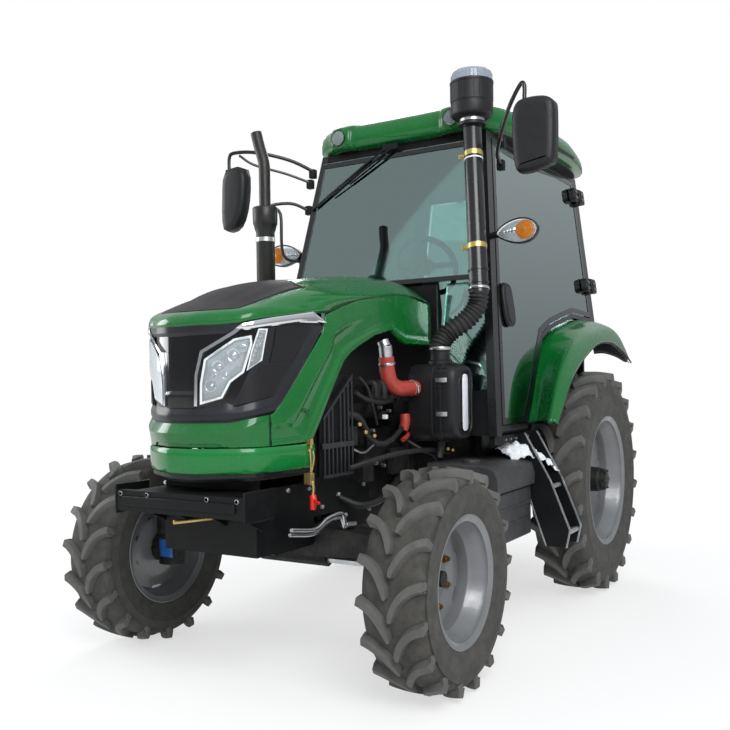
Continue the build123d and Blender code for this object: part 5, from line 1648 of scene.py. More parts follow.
        for x, s, z in ((893, -1205, 2660), (-1024, -1186, 2590)):
            mounts.box(mm(x - 18, s - 18, z - 26), mm(x + 18, s + 18, z + 26))
        mounts.piece("mirror_mounts", BLACK_POWDER, bevel=0.006)

    def signals(self) -> None:
        """Builds the front turn signals: an amber disc beside a clear teardrop in a black rim."""
        outline = rounded([
            (640, 2079), (671, 2122), (742, 2153), (812, 2154), (861, 2128), (876, 2084), (842, 2036), (770, 2020),
            (690, 2042),
        ], 4)
        shell, lens, amber, inner = Form(), Form(), Form(), Form()
        rings = plate(outline, ((-925, 30), (-935, 8), (-955, 0), (-985, 0), (-988, 4), (-980, 7)))
        shell.grid(rings, ring=True, caps=True)
        shell.bar(mm(600, -940, 2085), mm(690, -950, 2085), 0.018, 16)
        lens.grid(plate(outline, ((-981, 7), (-987, 9), (-991, 16), (-993, 30))), ring=True, caps=True)
        inner.grid(plate(outline, ((-978, 8), (-982, 10))), ring=True, caps=True)
        for i in range(5):
            inner.lathe(
                mm(668 + 17 * i, -982, 2084 + 3 * i), (0, -1, 0),
                [(0, 0.010 + 0.002 * i), (0.006, 0.006), (0.007, 0.002)], 16,
            )
        amber.lathe(mm(806, -980, 2090), (0, -1, 0), [
            (0, 0.052), (0.008, 0.052), (0.013, 0.048), (0.014, 0.040), (0.016, 0.038), (0.0165, 0.028),
            (0.019, 0.026), (0.0195, 0.014), (0.021, 0.012), (0.022, 0.002),
        ], 40)
        for form, name, finish, slot in (
            (shell, "signal_shells", BLACK_ABS, "black_plastic"), (lens, "signal_lenses", CLEAR_LENS, "lamp_lens"),
            (inner, "signal_reflectors", REFLECTOR, "zinc_steel"),
            (amber, "signal_ambers", AMBER_LENS, "lamp_lens"),
        ):
            made = form.mirrored().piece(name, finish, angle=38)
            if name == "signal_shells":
                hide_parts("turn_signals")


@dataclass
class ExhaustStack:
    """The exhaust beside the bonnet: manifold elbow, muffler, flared cup and bent tail pipe, in millimetres."""

    x: float = -430.0
    station: float = -1612.0

    def build(self) -> None:
        """Builds the stack."""
        foot = mm(self.x, self.station, 0)
        up = Vector((0, 0, 1))
        form = Form().tube([
            mm(-225, self.station + 10, 1130), mm(-330, self.station, 1132), mm(-405, self.station, 1160),
            mm(self.x, self.station, 1240), mm(self.x, self.station, 1400), mm(self.x, self.station, 1570),
        ], 0.030, 24, 6)
        profile = [
            (1545, 30), (1552, 44), (1562, 50), (2110, 50), (2125, 56), (2150, 62), (2156, 66), (2240, 68),
            (2246, 64), (2238, 60), (2225, 36),
        ]
        form.lathe(foot, up, metres(profile), 48)
        form.tube([
            foot + up * 2.15, foot + up * 2.30, foot + up * 2.44, foot + Vector((-0.006, 0, 2.50)),
            foot + Vector((-0.030, 0, 2.575)), foot + Vector((-0.052, 0, 2.655)),
        ], 0.031, 32, 6)
        made = form.piece("exhaust_stack", STACK_BLACK, angle=45)
        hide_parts("exhaust")
        # A dark disc on the closed end of the tail pipe stands for the dark inside of its open end: painted shade.
        mouth_painted_shade = Form().bar(foot + Vector((-0.0505, 0, 2.648)), foot + Vector((-0.0525, 0, 2.6565)), 0.027, 28)
        mouth_painted_shade.piece("exhaust_mouth_painted_shade", BLACK_INSET)
        straps = Form()
        for z in (1640, 2060):
            straps.lathe(foot, up, [
                (z / 1000, 0.050), (z / 1000, 0.052), ((z + 22) / 1000, 0.052), ((z + 22) / 1000, 0.050),
            ], 40, closed=True)
        straps.piece("muffler_straps", BRIGHT_ZINC)


@dataclass
class Fender:
    """The rear fenders, swept along rows of (station, height) at the inner edge, the fold and the outer edge."""

    rows: Sequence[tuple[float, ...]] = (
        (-580, 1048, -800, 1050, -785, 1048), (-528, 1156, -690, 1210, -690, 1140),
        (-490, 1290, -572, 1343, -546, 1277), (-400, 1426, -391, 1466, -399, 1365),
        (-225, 1569, -122, 1553, -200, 1450), (45, 1640, 120, 1600, 43, 1516), (290, 1676, 380, 1625, 330, 1528),
        (560, 1676, 600, 1600, 597, 1480), (730, 1640, 760, 1520, 720, 1445), (840, 1480, 850, 1412, 827, 1405),
    )

    def section(self, row: Sequence[float], sink: float) -> list[Vector]:
        """One section across the fender, so many millimetres under its skin.

        Args:
            row: The stations and heights of its three edges.
            sink: How far under the skin.

        Returns:
            The section's points.
        """
        a, b, c, d, e, f = row
        points = [
            (640, a, b), (712, a, b + 1), (790, (a + c) / 2, (b + d) / 2 + 9), (856, c, d + 4),
            (882, (c + e) / 2, (d + f) / 2 + 14), (903, e, f),
        ]
        points = spline([Vector(p) for p in points], 5)
        return [mm(p.x - (sink if i > 18 else 0), p.y + sink * 0.3, p.z - sink * 0.8) for i, p in enumerate(points)]

    def skin(self, sink: float) -> list[list[Vector]]:
        """The smooth skin as a grid of points.

        Args:
            sink: How far under the skin.

        Returns:
            Rows of points, from the front to the rear.
        """
        sections = [self.section(row, sink) for row in self.rows]
        columns = [spline([section[j] for section in sections], 7) for j in range(len(sections[0]))]
        return [[column[i] for column in columns] for i in range(len(columns[0]))]

    def build(self) -> None:
        """Builds both fenders with their black undersides and edge beads."""
        outer, liner = (Form().grid([row[::-1] for row in self.skin(sink)]) for sink in (0, 12))
        edge = Form().tube([row[-1] + Vector((0.001, 0, -0.003)) for row in self.skin(0)], 0.005, 10, 1)
        for place in Side:
            side = place.word
            skin = outer.on(place).piece(f"fender_skin_{side}", GREEN_ENAMEL, angle=42, thick=0.005)
            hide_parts(f"fender_{side}")
            under = liner.on(place).piece(f"fender_liner_{side}", BLACK_ABS, angle=42, thick=0.003)
            bead = edge.on(place).piece(f"fender_bead_{side}", BLACK_RUBBER)


@dataclass
class TankAndSteps:
    """The fuel tank, the battery box across from it, the steps and the film left on them, in millimetres."""

    front: float = -1420.0
    rear: float = -908.0
    out: float = 806.0
    plates: Table = (
        (690, 1010), (762, 1010), (900, 762), (1005, 500), (985, 404), (866, 404), (760, 700), (690, 820),
    )

    def box_form(self) -> Form:
        """The moulded box with its lid, ledges and drawn-in foot.

        Returns:
            The left box as a form.
        """
        form = Form()
        side = rounded([
            (self.front, 470), (self.rear, 470), (self.rear, 600), (self.rear, 735), (self.front, 735),
            (self.front, 600),
        ], 1)
        rings = [
            [mm(x, s, z) for s, z in inset(side, drawn)]
            for x, drawn in ((432, 8), (436, 0), (self.out - 24, 0), (self.out - 18, 3), (self.out - 10, 12))
        ]
        form.grid([ring[::-1] for ring in rings], ring=True, caps=True)
        for z in (560, 640):
            form.box(mm(460, self.rear - 4, z), mm(self.out - 30, self.rear + 5, z + 12))
            form.box(mm(self.out - 14, self.front + 40, z), mm(self.out - 4, self.rear - 40, z + 12))
        lid = [
            (430, 738), (self.out + 8, 738), (self.out + 10, 800), (self.out - 6, 852), (self.out - 50, 872),
            (600, 880), (430, 880),
        ]
        form.prism([mm(x, self.front - 6, z) for x, z in lid], (0, (self.rear - self.front + 12) / 1000, 0))
        form.lathe(
            mm(620, self.front + 120, 872), (0, 0, 1), [(0, 0.045), (0.018, 0.045), (0.024, 0.040), (0.024, 0.02)],
            24,
        )
        return form

    def build(self) -> None:
        """Builds both boxes, both stairs and the film."""
        form = self.box_form()
        tank = form.piece("fuel_tank_shell", GREY_POLYETHYLENE, bevel=0.014, steps=3, angle=40)
        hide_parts("fuel_tank")
        box = form.flipped().piece("battery_box_shell", GREY_POLYETHYLENE, bevel=0.014, steps=3, angle=40)
        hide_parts("battery_box")
        sides, edges, treads, slots, backs = Form(), Form(), Form(), Form(), Form()
        for s in (-893, -704):
            sides.prism([mm(x, s - 3, z) for x, z in self.plates], (0, 0.006, 0))
            for (a, b), (c, d) in zip(self.plates[1:4], self.plates[2:5]):
                edges.prism([
                    mm(a, s - 5, b), mm(c, s - 5, d), mm(c - 9, s - 5, d - 2), mm(a - 9, s - 5, b - 2),
                ], (0, 0.010, 0))
            edges.prism([
                mm(760, s - 5, 700), mm(866, s - 5, 404), mm(874, s - 5, 406), mm(768, s - 5, 704),
            ], (0, 0.010, 0))
        for x0, x1, z in ((772, 892, 706), (872, 990, 470)):
            treads.prism([
                mm(x0, -893, z), mm((x0 + x1) / 2, -893, z - 9), mm(x1, -893, z), mm(x1 + 4, -893, z + 10),
                mm(x1 - 6, -893, z + 22), mm((x0 + x1) / 2, -893, z + 12), mm(x0, -893, z + 20),
            ], (0, 0.189, 0))
            for i in range(3):
                for j in range(2):
                    slots.lathe(
                        mm(x0 + 34 + 50 * j, -858 + 60 * i, z + 12), (0, 0, 1),
                        [(0, 0.018), (0.0045, 0.018), (0.0065, 0.013), (0.0065, 0.004)], 20,
                    )
        backs.prism([
            mm(762, -890, 716), mm(868, -890, 480), mm(868, -707, 480), mm(762, -707, 716),
        ], (-0.006, 0, -0.003))
        backs.prism([
            mm(700, -890, 900), mm(776, -890, 720), mm(776, -707, 720), mm(700, -707, 900),
        ], (-0.006, 0, -0.003))
        backs.bar(mm(806, -800, 716), mm(900, -800, 480), 0.009, 12)
        made = sides.mirrored().piece("step_sides", BLACK_POWDER, bevel=0.0015)
        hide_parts("steps")
        edges.mirrored().piece("step_edges", GALVANISED, bevel=0.001)
        treads.mirrored().piece("step_treads", GALVANISED, bevel=0.002)
        slots.mirrored().piece("step_studs", BLACK_RUBBER)
        backs.mirrored().piece("step_backs", BLACK_POWDER, bevel=0.001)
        self.film()
        bolts = Form()
        for s in (-1110, -1040, -960, -860, -780):
            bolts.bar(mm(722, s, 985), mm(738, s, 985), 0.007, 6)
        bolts.mirrored().piece("sill_bolts", BRIGHT_ZINC)
        rail = Form().box(mm(690, -1230, 962), mm(722, -560, 1008))
        rail.mirrored().piece("sill_rail", BLACK_POWDER, bevel=0.003)

    def film(self) -> None:
        """Lays the crumpled protective film over the upper step."""
        rng = random.Random(7)
        line = spline([
            mm(*p)
            for p in ((690, -1030, 915), (735, -960, 948), (775, -880, 930), (806, -795, 893), (832, -712, 842))
        ], 10)
        rows = []
        for i, p in enumerate(line):
            row = []
            for j in range(13):
                k = j / 12 - 0.5
                fold = 0.009 * math.sin(i * 0.9 + j * 0.8) + 0.006 * rng.uniform(-1, 1)
                row.append(
                    p + Vector((0.10 * k, 0.02 * k, -0.07 * k - 0.10 * k * k)) + Vector((0.5, -0.3, 0.8)) * fold
                )
            rows.append(row)
        Form().grid(rows).piece("step_film", WHITE_FILM, angle=25, thick=0.0015)


@dataclass
class EngineBay:
    """What shows beside the engine: hoses, pipes, brackets, the fan shroud and the side grille, in millimetres."""

    grille_x: float = 338.0

    def build(self) -> None:
        """Builds both sides of the bay."""
        bars, back = Form(), Form()
        x = self.grille_x
        for i in range(8):
            s = -2226 + 33 * i
            bars.box(mm(x - 6, s, 884 if i < 7 else 900), mm(x, s + 11, 1010))
            if i != 3:
                bars.box(mm(x - 6, s, 1030), mm(x, s + 11, 1140 + 26 * i))
        bars.box(mm(x - 8, -2240, 1006), mm(x + 1, -1978, 1032))
        bars.box(mm(x - 8, -2230, 878), mm(x + 1, -1988, 892))
        bars.prism([
            mm(x - 8, -2230, 1130), mm(x - 8, -1984, 1320), mm(x - 8, -1984, 1336), mm(x - 8, -2230, 1146),
        ], (0.009, 0, 0))
        back.box(mm(308, -2230, 880), mm(316, -1985, 1330))
        bars.mirrored().piece("grille_bars", GRAPHITE_SATIN, bevel=0.002)
        back.mirrored().piece("grille_back", BLACK_POWDER, bevel=0.001)
        shroud = Form().lathe(
            mm(0, -2010, 1110), (0, 1, 0), [(0, 0.30), (0.05, 0.30), (0.06, 0.285), (0.06, 0.24), (0.0, 0.24)], 64,
            closed=True,
        )
        shroud.piece("fan_shroud", GREY_POLYETHYLENE, bevel=0.002)
        fan = Form().lathe(mm(0, -1985, 1110), (0, 1, 0), [(0, 0.05), (0.04, 0.05), (0.045, 0.03)], 32)
        for t in turns(7):
            c, s = math.cos(t), math.sin(t)
            fan.prism([
                mm(50 * c - 22 * s, -1985, 1110 + 50 * s + 22 * c),
                mm(230 * c - 38 * s, -1990, 1110 + 230 * s + 38 * c),
                mm(230 * c + 38 * s, -1958, 1110 + 230 * s - 38 * c),
                mm(50 * c + 22 * s, -1965, 1110 + 50 * s - 22 * c),
            ], (0, 0.004, 0))
        fan.piece("fan_blades", BLACK_ABS, bevel=0.001)
        hoses = Form()
        runs = (
            (
                (318, -1930, 1250, 11), (330, -1850, 1215, 0), (322, -1700, 1195, 0), (300, -1560, 1200, 0),
                (285, -1480, 1190, 0),
            ),
            ((320, -1900, 1320, 8), (330, -1840, 1270, 0), (325, -1780, 1170, 0), (300, -1700, 1090, 0)),
            (
                (330, -2010, 905, 12), (380, -1900, 930, 0), (420, -1700, 952, 0), (430, -1400, 945, 0),
                (428, -1150, 915, 0),
            ),
            ((300, -1840, 1060, 13), (340, -1760, 1000, 0), (335, -1620, 1010, 0), (320, -1480, 1060, 0)),
            ((240, -1960, 760, 16), (330, -1900, 720, 0), (345, -1700, 740, 0), (300, -1500, 800, 0)),
            ((300, -1420, 1000, 9), (390, -1380, 940, 0), (420, -1300, 900, 0), (400, -1200, 800, 0)),
            ((260, -1950, 1150, 18), (300, -1880, 1130, 0), (300, -1800, 1050, 0), (270, -1740, 980, 0)),
        )
        for run in runs:
            hoses.tube([mm(x, s, z) for x, s, z, _ in run], run[0][3] / 1000, 12, 8)
        hoses.piece("bay_hoses", BLACK_RUBBER)
        pipes = Form()
        pipes.tube([
            mm(400, -2570, 712), mm(400, -2400, 690), mm(400, -2300, 722), mm(400, -2190, 727), mm(400, -2160, 672),
            mm(380, -2050, 664), mm(330, -1980, 640),
        ], 0.008, 12, 6)
        pipes.tube([
            mm(385, -2560, 690), mm(385, -2390, 668), mm(388, -2290, 702), mm(388, -2185, 706), mm(388, -2150, 650),
            mm(330, -2040, 630),
        ], 0.008, 12, 6)
        pipes.tube([
            mm(286, -1900, 980), mm(296, -1820, 960), mm(296, -1700, 1000), mm(286, -1600, 990),
        ], 0.006, 10, 6)
        for s, z in (
            (-1850, 1120), (-1800, 1085), (-1725, 1060), (-1650, 1170), (-1560, 1150), (-1700, 900), (-1620, 880),
            (-1540, 905),
        ):
            pipes.bar(mm(276, s, z), mm(300, s, z), 0.009, 6)
        pipes.bar(mm(400, -2165, 672), mm(400, -2090, 665), 0.014, 6)
        pipes.piece("bay_pipes", BRIGHT_ZINC, bevel=0.0008)
        fittings = Form()
        for spot in (
            (318, -1905, 1100), (312, -1840, 1060), (330, -1790, 1040), (430, -1130, 925), (425, -1180, 935),
        ):
            fittings.bar(mm(*spot), mm(spot[0] + 16, spot[1] - 12, spot[2]), 0.010, 6)
        fittings.piece("bay_fittings", YELLOW_ZINC, bevel=0.001)
        reds = Form().tube([mm(322, -1452, 1128), mm(326, -1456, 1090), mm(318, -1462, 1050)], 0.026, 20, 6)
        reds.tube([mm(300, -1400, 1043), mm(330, -1440, 1020), mm(335, -1500, 1000)], 0.012, 14, 6)
        reds.piece("bay_red_hoses", RED_SILICONE)
        blocks = Form()
        for low, high in (
            ((276, -1650, 1110), (300, -1600, 1150)), ((276, -1480, 1230), (296, -1420, 1262)),
            ((278, -1790, 1150), (304, -1730, 1230)), ((270, -1960, 1000), (298, -1880, 1090)),
            ((276, -1560, 830), (300, -1430, 960)), ((276, -1380, 1060), (310, -1250, 1200)),
            ((276, -1700, 1235), (300, -1560, 1290)), ((330, -2150, 560), (356, -1760, 640)),
            ((280, -1860, 820), (312, -1760, 930)),
        ):
            blocks.box(mm(*low), mm(*high))
        for s in (-1720, -1640, -1560, -1480):
            blocks.tube([mm(262, s, 1290), mm(300, s, 1285), mm(306, s, 1230), mm(284, s, 1200)], 0.017, 14, 5)
        blocks.mirrored().piece("bay_castings", BLACK_CASTING, bevel=0.006, steps=3)
        white = Form().box(mm(300, -1650, 1112), mm(322, -1625, 1134))
        white.piece("bay_connector", WHITE_FILM, bevel=0.003)
        self.front()

    def front(self) -> None:
        """Builds the front beam's plate, gussets, rod and bolts, and the film on the axle housing."""
        beam = Form()
        for x in (-346, 340):
            beam.box(mm(x, -2796, 762), mm(x + 8, -2600, 884))
        for x in (-250, -90, 90, 250):
            beam.prism([mm(x - 4, -2700, 760), mm(x - 4, -2560, 760), mm(x - 4, -2560, 690)], (0.008, 0, 0))
        beam.box(mm(-300, -2800, 800), mm(300, -2790, 838))
        beam.piece("beam_plates", BLACK_POWDER, bevel=0.003)
        bolts = Form()
        for x in (-310, -160, 160, 310):
            bolts.bar(mm(x, -2800, 848), mm(x, -2788, 848), 0.010, 6)
        for s, z in (
            (-2500, 860), (-2350, 850), (-2250, 760), (-2120, 800), (-2060, 700), (-1900, 820), (-1850, 700),
        ):
            bolts.bar(mm(331, s, z), mm(343, s, z), 0.010, 6)
        bolts.mirrored().piece("frame_bolts", BRIGHT_ZINC, bevel=0.001)
        rod = Form().bar(mm(-40, -2770, 742), mm(40, -2600, 742), 0.009, 14)
        rod.piece("beam_rod", YELLOW_ZINC)
        for place in Side:
            side, hand = place.word, place.hand
            film = Form().grid([
                [mm(hand * (602 + 22 * i), -2184 - 3 * math.sin(i + j), 438 + 15 * j) for i in range(5)]
                for j in range(7)
            ])
            film.piece(f"axle_film_{side}", BLUE_FILM, f"knuckle_{side}", thick=0.001)
            hub = Form().lathe(at(hand * 0.790, 0.0, 0.670), (hand, 0, 0), [
                (-0.02, 0.105), (0.0, 0.105), (0.004, 0.078), (0.120, 0.074), (0.126, 0.068), (0.150, 0.066),
                (0.154, 0.052), (0.162, 0.050), (0.162, 0.026), (0.150, 0.022),
            ], 48)
            for t in turns(6):
                spot = at(hand * 0.94, 0.058 * math.cos(t), 0.670 + 0.058 * math.sin(t))
                hub.bar(spot, spot + Vector((hand * 0.014, 0, 0)), 0.008, 6)
            hub.piece(
                f"rear_hub_{side}", BLACK_CASTING, f"rear_wheel_{side}", bevel=0.002,
            )


@dataclass
class Latch:
    """The over-centre bonnet latch on the nose band, in millimetres."""

    place: float = 610.0

    def build(self) -> None:
        """Builds the hook, link, toggle and grip."""
        def on(z: float, out: float) -> Vector:
            """A point over the band."""
            return NOSE.spot(self.place, z, out)

        hook = Form().tube([on(1046, 4), on(1040, 14), on(1026, 16), on(1016, 8), on(1010, 6)], 0.006, 12, 6)
        hook.box(on(1052, 8) - Vector((0.016, 0.010, 0.014)), on(1052, 8) + Vector((0.014, 0.010, 0.010)))
        hook.piece("latch_hook", YELLOW_ZINC, "bonnet", bevel=0.0015)
        link = Form().tube([on(1014, 10), on(976, 14), on(920, 14)], 0.0045, 10, 5)
        link.tube([
            on(1010, 10) + Vector((0.012, 0.006, 0)), on(976, 14) + Vector((0.012, 0.006, 0)), on(905, 14),
        ], 0.0045, 10, 5)
        link.box(on(896, 8) - Vector((0.020, 0.016, 0.026)), on(896, 8) + Vector((0.016, 0.012, 0.022)))
        link.bar(on(870, 2), on(870, 26), 0.009, 12)
        link.tube([on(884, 22), on(850, 26), on(820, 24)], 0.008, 12, 5)
        made = link.piece("latch_toggle", YELLOW_ZINC, bevel=0.002)
        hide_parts("bonnet_latch")
        grip = Form().tube(
            [on(826, 22), on(800, 26), on(764, 22)], lambda t: 0.012 + 0.004 * math.sin(math.pi * t), 16, 8,
        )
        grip.tube([
            on(806, 22), on(800, 34) + Vector((0.02, -0.02, 0)), on(798, 30) + Vector((0.045, -0.03, 0)),
        ], 0.006, 12, 5)
        grip.piece("latch_grip", RED_GRIP)


@dataclass
class Seat:
    """The sprung seat: stitched foam cushion and back that swell under their cloth, in millimetres.

    weave is the cloth's mesh and most how far it may rise off the foam, both in metres.
    """

    weave: float = 0.006
    most: float = 0.022
    pressure: float = 4.0
    frames: int = 20
    pads: Sequence[tuple[str, Point, Point, float]] = (
        ("seat_cushion", (0, 115, 1392), (228, 232, 54), 0.0), ("seat_back", (0, 418, 1736), (218, 46, 272), -14.0),
    )

    def build(self) -> None:
        """Builds both pads, the armrests and the levers beside the seat."""
        for name, middle, half, lean in self.pads:
            pad = Form()
            rings = 14
            sections = []
            for i in range(rings + 1):
                u = i / rings * 2 - 1
                shrink = max(0.02, 1 - abs(u) ** 6) ** (1 / 2.4)
                row = []
                for t in turns(56):
                    c, s = math.cos(t), math.sin(t)
                    lobe = (abs(c) ** 5 + abs(s) ** 5) ** (-1 / 5)
                    y, z = half[1] * lobe * c * shrink, half[2] * lobe * s * shrink
                    tilt = math.radians(lean)
                    row.append(mm(
                        middle[0] + half[0] * u, middle[1] + y * math.cos(tilt) - z * math.sin(tilt),
                        middle[2] + y * math.sin(tilt) + z * math.cos(tilt),
                    ))
                sections.append(row)
            pad.grid(sections[::-1], ring=True, caps=True)
            made = pad.piece(f"{name}_pad", SEAT_CLOTH, angle=80)
            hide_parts(name)
            self.swell(made)
        extras = Form()
        for x in (-262, 262):
            extras.box(mm(x - 26, 40, 1560), mm(x + 26, 360, 1605))
            extras.box(mm(x - 12, 350, 1470), mm(x + 12, 400, 1600))
        extras.piece("armrests", BLACK_ABS, bevel=0.016, steps=4)
        levers = Form()
        for x, s, lean in ((-330, -60, 20), (-370, 40, 30), (-300, 120, -10), (330, 60, 20)):
            levers.tube([mm(x, s, 1030), mm(x, s - lean, 1250), mm(x * 0.97, s - 2 * lean, 1400)], 0.007, 10, 5)
            levers.lathe(
                mm(x * 0.97, s - 2 * lean, 1400), (0, 0, 1),
                [(-0.01, 0.008), (0.0, 0.018), (0.025, 0.022), (0.045, 0.016), (0.052, 0.004)], 20,
            )
        levers.piece("cab_levers", BLACK_ABS)
        red = Form().tube([mm(150, -520, 1700), mm(210, -500, 1760), mm(240, -480, 1850)], 0.010, 12, 6)
        red.piece("shuttle_lever", RED_GRIP)

    def swell(self, pad: bpy.types.Object) -> None:
        """Inflates a pad's cloth over its foam, frame by frame, and keeps the result.

        Args:
            pad: The foam's mesh, which becomes the cloth.
        """
        for other in bpy.context.selected_objects:
            other.select_set(False)
        pad.select_set(True)
        bpy.context.view_layer.objects.active = pad
        weave = pad.modifiers.new("weave", "REMESH")
        weave.mode, weave.voxel_size, weave.use_smooth_shade = "VOXEL", self.weave, True
        bpy.ops.object.modifier_apply(modifier="weave")
        foam = [v.co.copy() for v in pad.data.vertices]
        cloth = pad.modifiers.new("cloth", "CLOTH")
        cloth.settings.use_pressure, cloth.settings.uniform_pressure_force = True, self.pressure
        cloth.settings.effector_weights.gravity = 0.0
        cloth.point_cache.frame_start, cloth.point_cache.frame_end = 1, self.frames
        for step in range(1, self.frames + 1):
            bpy.context.scene.frame_set(step)
        bpy.ops.object.modifier_apply(modifier="cloth")
        bpy.context.scene.frame_set(1)
        for vertex, start in zip(pad.data.vertices, foam):
            rise = vertex.co - start
            if rise.length > self.most:
                vertex.co = start + rise.normalized() * self.most
        soft = pad.modifiers.new("subdivision", "SUBSURF")
        soft.levels = soft.render_levels = 1


@dataclass
class FieldWheel:
    """A driven wheel: a chevron tyre on a pressed steel rim, in metres.

    crown is how far the tread falls towards its shoulders, and lug_crown how far the lugs' faces do.
    """

    end: End
    radius: float
    width: float
    station: float
    lugs: int
    lug_height: float
    lug_width: float
    lug_run: float
    bulge: float
    flange: float
    bead: float
    disc: float
    nuts: int
    nut_circle: float
    track: float = 0.825
    crown: float = 0.016
    lug_crown: float = 0.012

    def spot(self, u: float, r: float, turn: float) -> Vector:
        """A point of the left wheel: so far out from its middle, at a radius, turned up from dead ahead."""
        return at(self.track + u, self.station - r * math.cos(turn), self.radius + r * math.sin(turn))

    def casing_radius(self, u: float) -> float:
        """The tread's radius between the lugs."""
        return self.radius - self.lug_height - self.crown * (abs(u) / (self.width / 2)) ** 2

    def casing(self) -> Form:
        """The carcass with its beads, side ribs and crowned tread.

        Returns:
            The carcass as a form.
        """
        half = self.width / 2
        crown = self.casing_radius(0.8 * half)
        side = [
            (half - 0.045, self.bead - 0.002), (half - 0.028, self.bead + 0.004),
            (half - 0.024, self.flange - 0.006), (half - 0.020, self.flange + 0.004),
            (half - 0.016, self.flange + 0.010), (half - 0.015, self.flange + 0.016),
            (half - 0.009, self.flange + 0.034), (half - 0.004, (self.flange + self.bulge) / 2),
            (half - 0.001, self.bulge - 0.012), (half + 0.0015, self.bulge - 0.008),
            (half + 0.0015, self.bulge - 0.002), (half - 0.0005, self.bulge + 0.002),
            (half - 0.003, self.bulge + 0.03), (half - 0.012, crown - 0.028), (0.88 * half, crown - 0.010),
            (0.8 * half, crown),
        ]
        tread = [(0.55 * half, self.casing_radius(0.55 * half)), (0.25 * half, self.casing_radius(0.25 * half))]
        left = side + tread
        profile = left + [(0.0, self.casing_radius(0))] + [(-u, r) for u, r in reversed(left)]
        profile += [(-half + 0.06, self.bead - 0.004), (half - 0.06, self.bead - 0.004)]
        return Form().lathe(at(self.track, self.station, self.radius), (1, 0, 0), profile, 128, closed=True)

    def lug(self, form: Form, hand: int, turn: float) -> None:
        """Adds one lug: nearly along the tread at its middle, across it at the shoulder, then down the side.

        Args:
            form: The form that it is added to.
            hand: 1 for the outer half of the tread, -1 for the inner.
            turn: Where it sits round the wheel, in radians.
        """
        half, run = self.width / 2, self.lug_run / 2
        start, knee, end = Vector((0.006, -run)), Vector((0.30 * half, 0.72 * run)), Vector((half - 0.004, run))
        rows = []
        steps = 11
        for i in range(steps):
            t = i / (steps - 1)
            middle = start * (1 - t) ** 2 + knee * 2 * t * (1 - t) + end * t**2
            ahead = ((knee - start) * (1 - t) + (end - knee) * t).normalized()
            across = Vector((-ahead.y, ahead.x))
            broad = self.lug_width / 2 * (0.8 + 0.35 * t) * (1 if i else 0.72)
            top = self.radius - self.lug_crown * (middle.x / half) ** 2
            foot = self.casing_radius(middle.x) - 0.006
            row = []
            for share, level, spread in (
                (-1, foot, 1.35), (-1, top - 0.007, 1.0), (-0.8, top, 1.0), (0.8, top, 1.0), (1, top - 0.007, 1.0),
                (1, foot, 1.35),
            ):
                q = middle + across * broad * share * spread
                row.append(self.spot(hand * min(max(q.x, 0.002), half), level, turn + q.y / self.radius))
            rows.append(row)
        for drop, sink in ((0.35, 0.002), (0.7, 0.004), (1.0, 0.010)):
            level = self.radius - self.crown - drop * (self.radius - self.crown - self.bulge - 0.012)
            broad = self.lug_width / 2 * (1.15 - 0.25 * drop)
            row = []
            for share, out, spread in (
                (-1, -0.028, 1.3), (-1, -0.006, 1.0), (-0.8, 0.0, 1.0), (0.8, 0.0, 1.0), (1, -0.006, 1.0),
                (1, -0.028, 1.3),
            ):
                q = run + broad * share * spread
                row.append(self.spot(hand * (half - sink + out * (1.1 - drop)), level, turn + q / self.radius))
            rows.append(row)
        form.grid([row if hand > 0 else row[::-1] for row in rows], ring=True, caps=True)

    def tyre(self) -> tuple[Form, Form]:
        """The carcass and the lugs.

        Returns:
            The carcass and the lugs as two forms.
        """
        lugs = Form()
        for hand, shift in ((1, 0.0), (-1, 0.5)):
            for i in range(self.lugs):
                self.lug(lugs, hand, 2 * math.pi * (i + shift) / self.lugs)
        return self.casing(), lugs

    def rim(self) -> Form:
        """The rolled barrel with its two ledges and drop centre.

        Returns:
            The barrel as a form.
        """
        centre = at(self.track, self.station, self.radius)
        half = self.width / 2 - 0.022
        outer = [
            (half + 0.004, self.flange - 0.004), (half + 0.002, self.flange), (half - 0.006, self.flange - 0.004),
            (half - 0.010, self.bead), (half - 0.035, self.bead - 0.003), (half - 0.048, self.bead - 0.016),
            (half - 0.075, self.bead - 0.019), (half - 0.088, self.bead - 0.032), (0.028, self.bead - 0.034),
        ]
        inner = [(u, r - 0.006) for u, r in reversed(outer[3:])] + [(half - 0.002, self.flange - 0.010)]
        profile = outer + [(-u, r) for u, r in reversed(outer)] + [(-u, r) for u, r in reversed(inner)] + inner
        return Form().lathe(centre, (1, 0, 0), profile, 96, closed=True)

    def build(self) -> None:
        """Builds both wheels of this end of the tractor."""
        casing, lugs = self.tyre()
        rim, disc, nuts = self.rim(), self.disc_form(), self.nut_form()
        for place in Side:
            end, hand = self.end.value, place.word
            body = f"{end}_wheel_{hand}"
            made = casing.on(place).piece(f"{end}_casing_{hand}", TYRE_CASING, body, angle=40)
            # The lugs take the same rubber painted a little paler: painted light on their faces.
            tread = lugs.on(place).piece(f"{end}_lugs_{hand}", TYRE_LUG_PAINTED_LIGHT, body, angle=50)
            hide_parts(f"{end}_tyre_{hand}")
            barrel = rim.on(place).piece(f"{end}_barrel_{hand}", WHEEL_SILVER, body, angle=50)
            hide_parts(f"{end}_rim_{hand}")
            plate = disc.on(place).piece(f"{end}_disc_{hand}", WHEEL_SILVER, body, angle=40)
            bolts = nuts.on(place).piece(f"{end}_nuts_{hand}", BRONZE_NUT, body, bevel=0.001)

